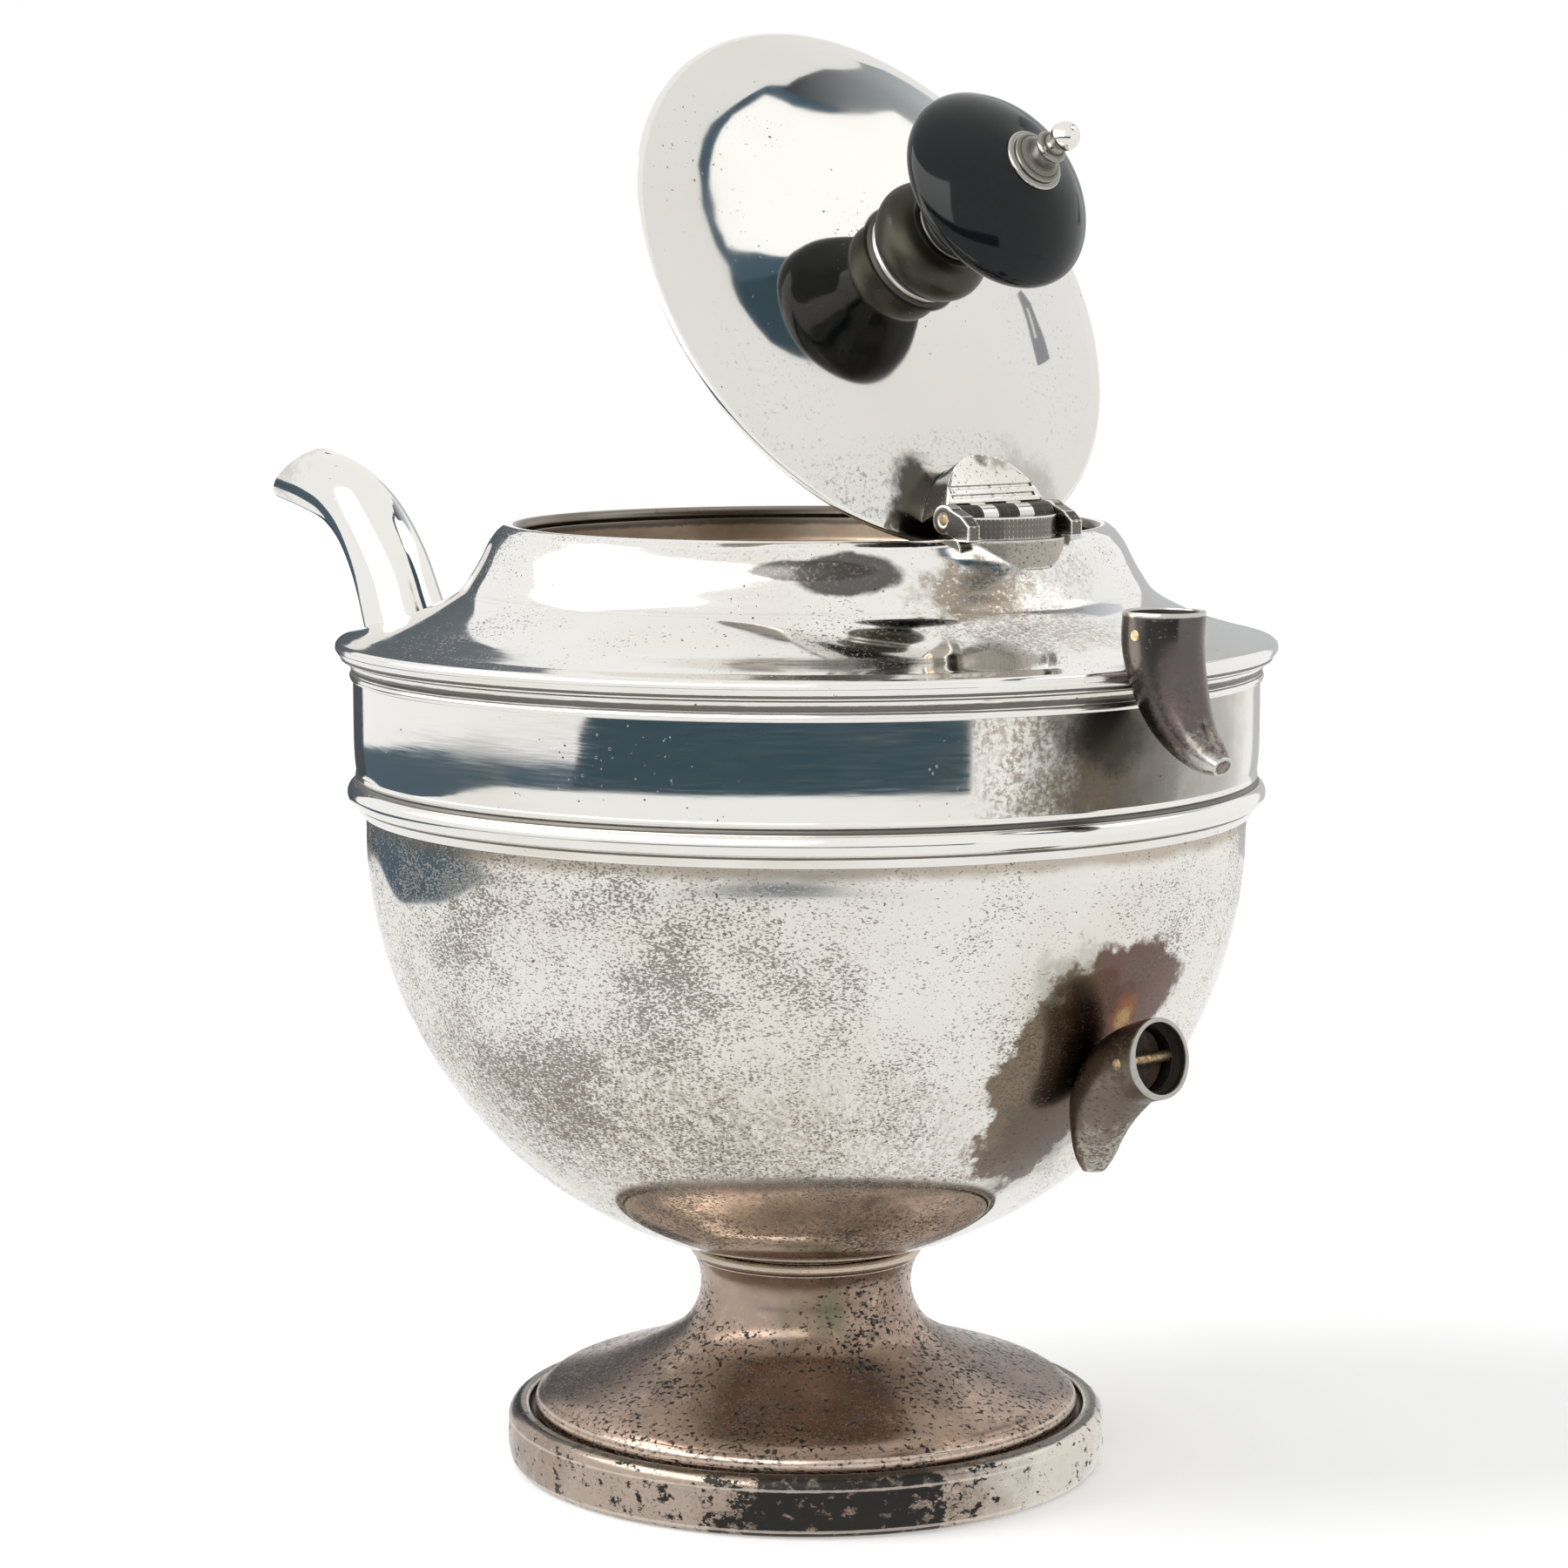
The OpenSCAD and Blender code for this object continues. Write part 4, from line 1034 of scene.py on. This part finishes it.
def card(name, outline, distance, colour, glow=1.0, fade=(1.0, 1.0), eye=(0, 0, 100)):
    """A studio card, seen only in reflections. Its outline is a list of (azimuth, elevation) as seen
    from the eye. Fade is its brightness at its lower and at its upper edge."""
    low, high = min(e for a, e in outline), max(e for a, e in outline)
    loop = dense([np.array(p, float) for p in outline], 2.0)
    middle = sum(loop) / len(loop)
    points, levels = [], []
    for share in (1.0, 0.66, 0.33, 0.0):
        for p in loop if share else loop[:1]:
            az, el = middle + (p - middle) * share
            points.append(aim(az, el, distance, eye))
            levels.append(fade[0] + (fade[1] - fade[0]) * (el - low) / (high - low))
    n = len(loop)
    faces = [(k * n + i, k * n + (i + 1) % n, (k + 1) * n + (i + 1) % n, (k + 1) * n + i)
             for k in (0, 1) for i in range(n)]
    faces += [(2 * n + i, 2 * n + (i + 1) % n, 3 * n) for i in range(n)]
    obj = piece(name, points, faces)
    layer = obj.data.attributes.new("fade", "FLOAT", "POINT")
    layer.data.foreach_set("value", levels)
    m = Look(name + "_paper", metallic=0.0)
    m.set("Base Color", (0, 0, 0))
    m.set("Roughness", 1.0)
    m.set("Specular IOR Level", 0.0)
    m.set("Emission Color", colour)
    m.set("Emission Strength", m.times(m.attribute("fade"), glow))
    obj.data.materials.append(m.material)
    obj.visible_camera = False
    obj.visible_shadow = False
    obj.visible_diffuse = False


def sheet(azimuths, elevations):
    (a, b), (c, d) = azimuths, elevations
    return [(a, c), (b, c), (b, d), (a, d)]


ROOM = (0.046, 0.082, 0.105)
LID_BLUE = (0.075, 0.125, 0.17)
WHITE = (1, 1, 1)
# Places on the pot that a card is drawn as seen from
LID_EYE, KNOB_EYE, SLIT_EYE, FLANGE_EYE = (8, -15, 195), (39, 0, 191), (24, 23, 171), (0, 0, 135)
card("room_left", sheet((-150, -57), (-34, -6.3)), 1500, (0.085, 0.125, 0.16))
card("room_front", [(-60, -34), (40, -34), (40, -2), (-46, -2), (-58, -6.5)], 1480, ROOM)
card("lid_outline", [(121, 54.5), (116, 56.5), (108, 59.5), (100, 62), (92, 62.3), (82, 61), (78, 58.5),
                     (73, 56.3), (71.5, 53), (70, 51), (70, 46), (84, 44), (129, 38), (133, 40), (129, 45.5),
                     (124.5, 49.5)], 3200, LID_BLUE, eye=LID_EYE)
card("lid_dark", [(72.5, 49.5), (70.5, 48.5), (67.5, 46), (66.5, 44), (67, 41), (68, 38.5), (71, 36),
                  (75, 33), (82, 31.5), (92, 32), (92, 46)], 3220, ROOM, eye=LID_EYE)
card("lid_softbox", [(117, 54.5), (112, 56), (106, 58), (99, 59), (93, 59), (86, 58), (81, 56.5), (78, 54.3),
                     (75, 53), (74, 51), (73, 50), (74.5, 49), (77, 48), (81, 46), (83, 40), (86, 34),
                     (132, 30), (131.5, 39.5), (125.8, 44.2), (121.2, 47.6), (117, 51.5)], 3000, WHITE, 1.35,
     eye=LID_EYE)
card("lid_screen", [(121, 52.5), (127, 50.5), (133, 48), (137, 46), (140, 43), (145, 38.5), (154, 32),
                    (155, 25), (148, 25), (136, 30), (129, 38), (126, 44), (121, 50)], 3180,
     (0.75, 0.8, 0.86), fade=(1.0, 0.05), eye=LID_EYE)
card("lid_slit", [(110.5, 17.5), (115.8, 17), (119.5, 22), (123, 28), (123.5, 31.5), (121.5, 31.5),
                  (114, 23)], 60, (0.33, 0.35, 0.38), eye=SLIT_EYE)
card("lid_slit_middle", [(115.4, 22.3), (116.6, 22), (121, 28), (120.2, 28.3)], 59, WHITE, 0.8, eye=SLIT_EYE)
card("left_screen", [(-170, -14), (-148, -14), (-147, 10), (-150, 15), (-158, 22), (-165, 27), (-170, 29)],
     1400, (0.10, 0.115, 0.13), fade=(0.6, 1.6), eye=FLANGE_EYE)
card("right_screen", [(150, -14), (176, -14), (172, 24), (160, 24), (154, 14)], 1400, (0.55, 0.56, 0.57),
     eye=FLANGE_EYE)
card("window", [(-112, -4), (-8, -4), (-4, 36), (-60, 40), (-112, 34)], 260, WHITE, 4.2, fade=(0.7, 1.0),
     eye=KNOB_EYE)

AMBIENT = 0.72
world = bpy.data.worlds.new("studio")
bpy.context.scene.world = world
world.use_nodes = True
nodes, links = world.node_tree.nodes, world.node_tree.links
background = nodes["Background"]
background.inputs["Color"].default_value = (1, 1, 1, 1)
path = nodes.new("ShaderNodeLightPath")
level = nodes.new("ShaderNodeMapRange")
links.new(path.outputs["Is Diffuse Ray"], level.inputs["Value"])
level.inputs["To Min"].default_value = 1.0
level.inputs["To Max"].default_value = AMBIENT
links.new(level.outputs[0], background.inputs["Strength"])

KEY_POWER, KEY_SOFTNESS, KEY_AZIMUTH, KEY_ELEVATION = 1.7, math.radians(34), -78, 40
key = bpy.data.objects.new("key_light", bpy.data.lights.new("key_light", "SUN"))
key.data.energy = KEY_POWER
key.data.angle = KEY_SOFTNESS
key.rotation_euler = (-Vector(aim(KEY_AZIMUTH, KEY_ELEVATION, 1500))).to_track_quat("-Z", "Y").to_euler()
key.visible_glossy = False
link(key)

bpy.context.scene.view_settings.view_transform = "Standard"
bpy.context.scene.view_settings.look = "None"
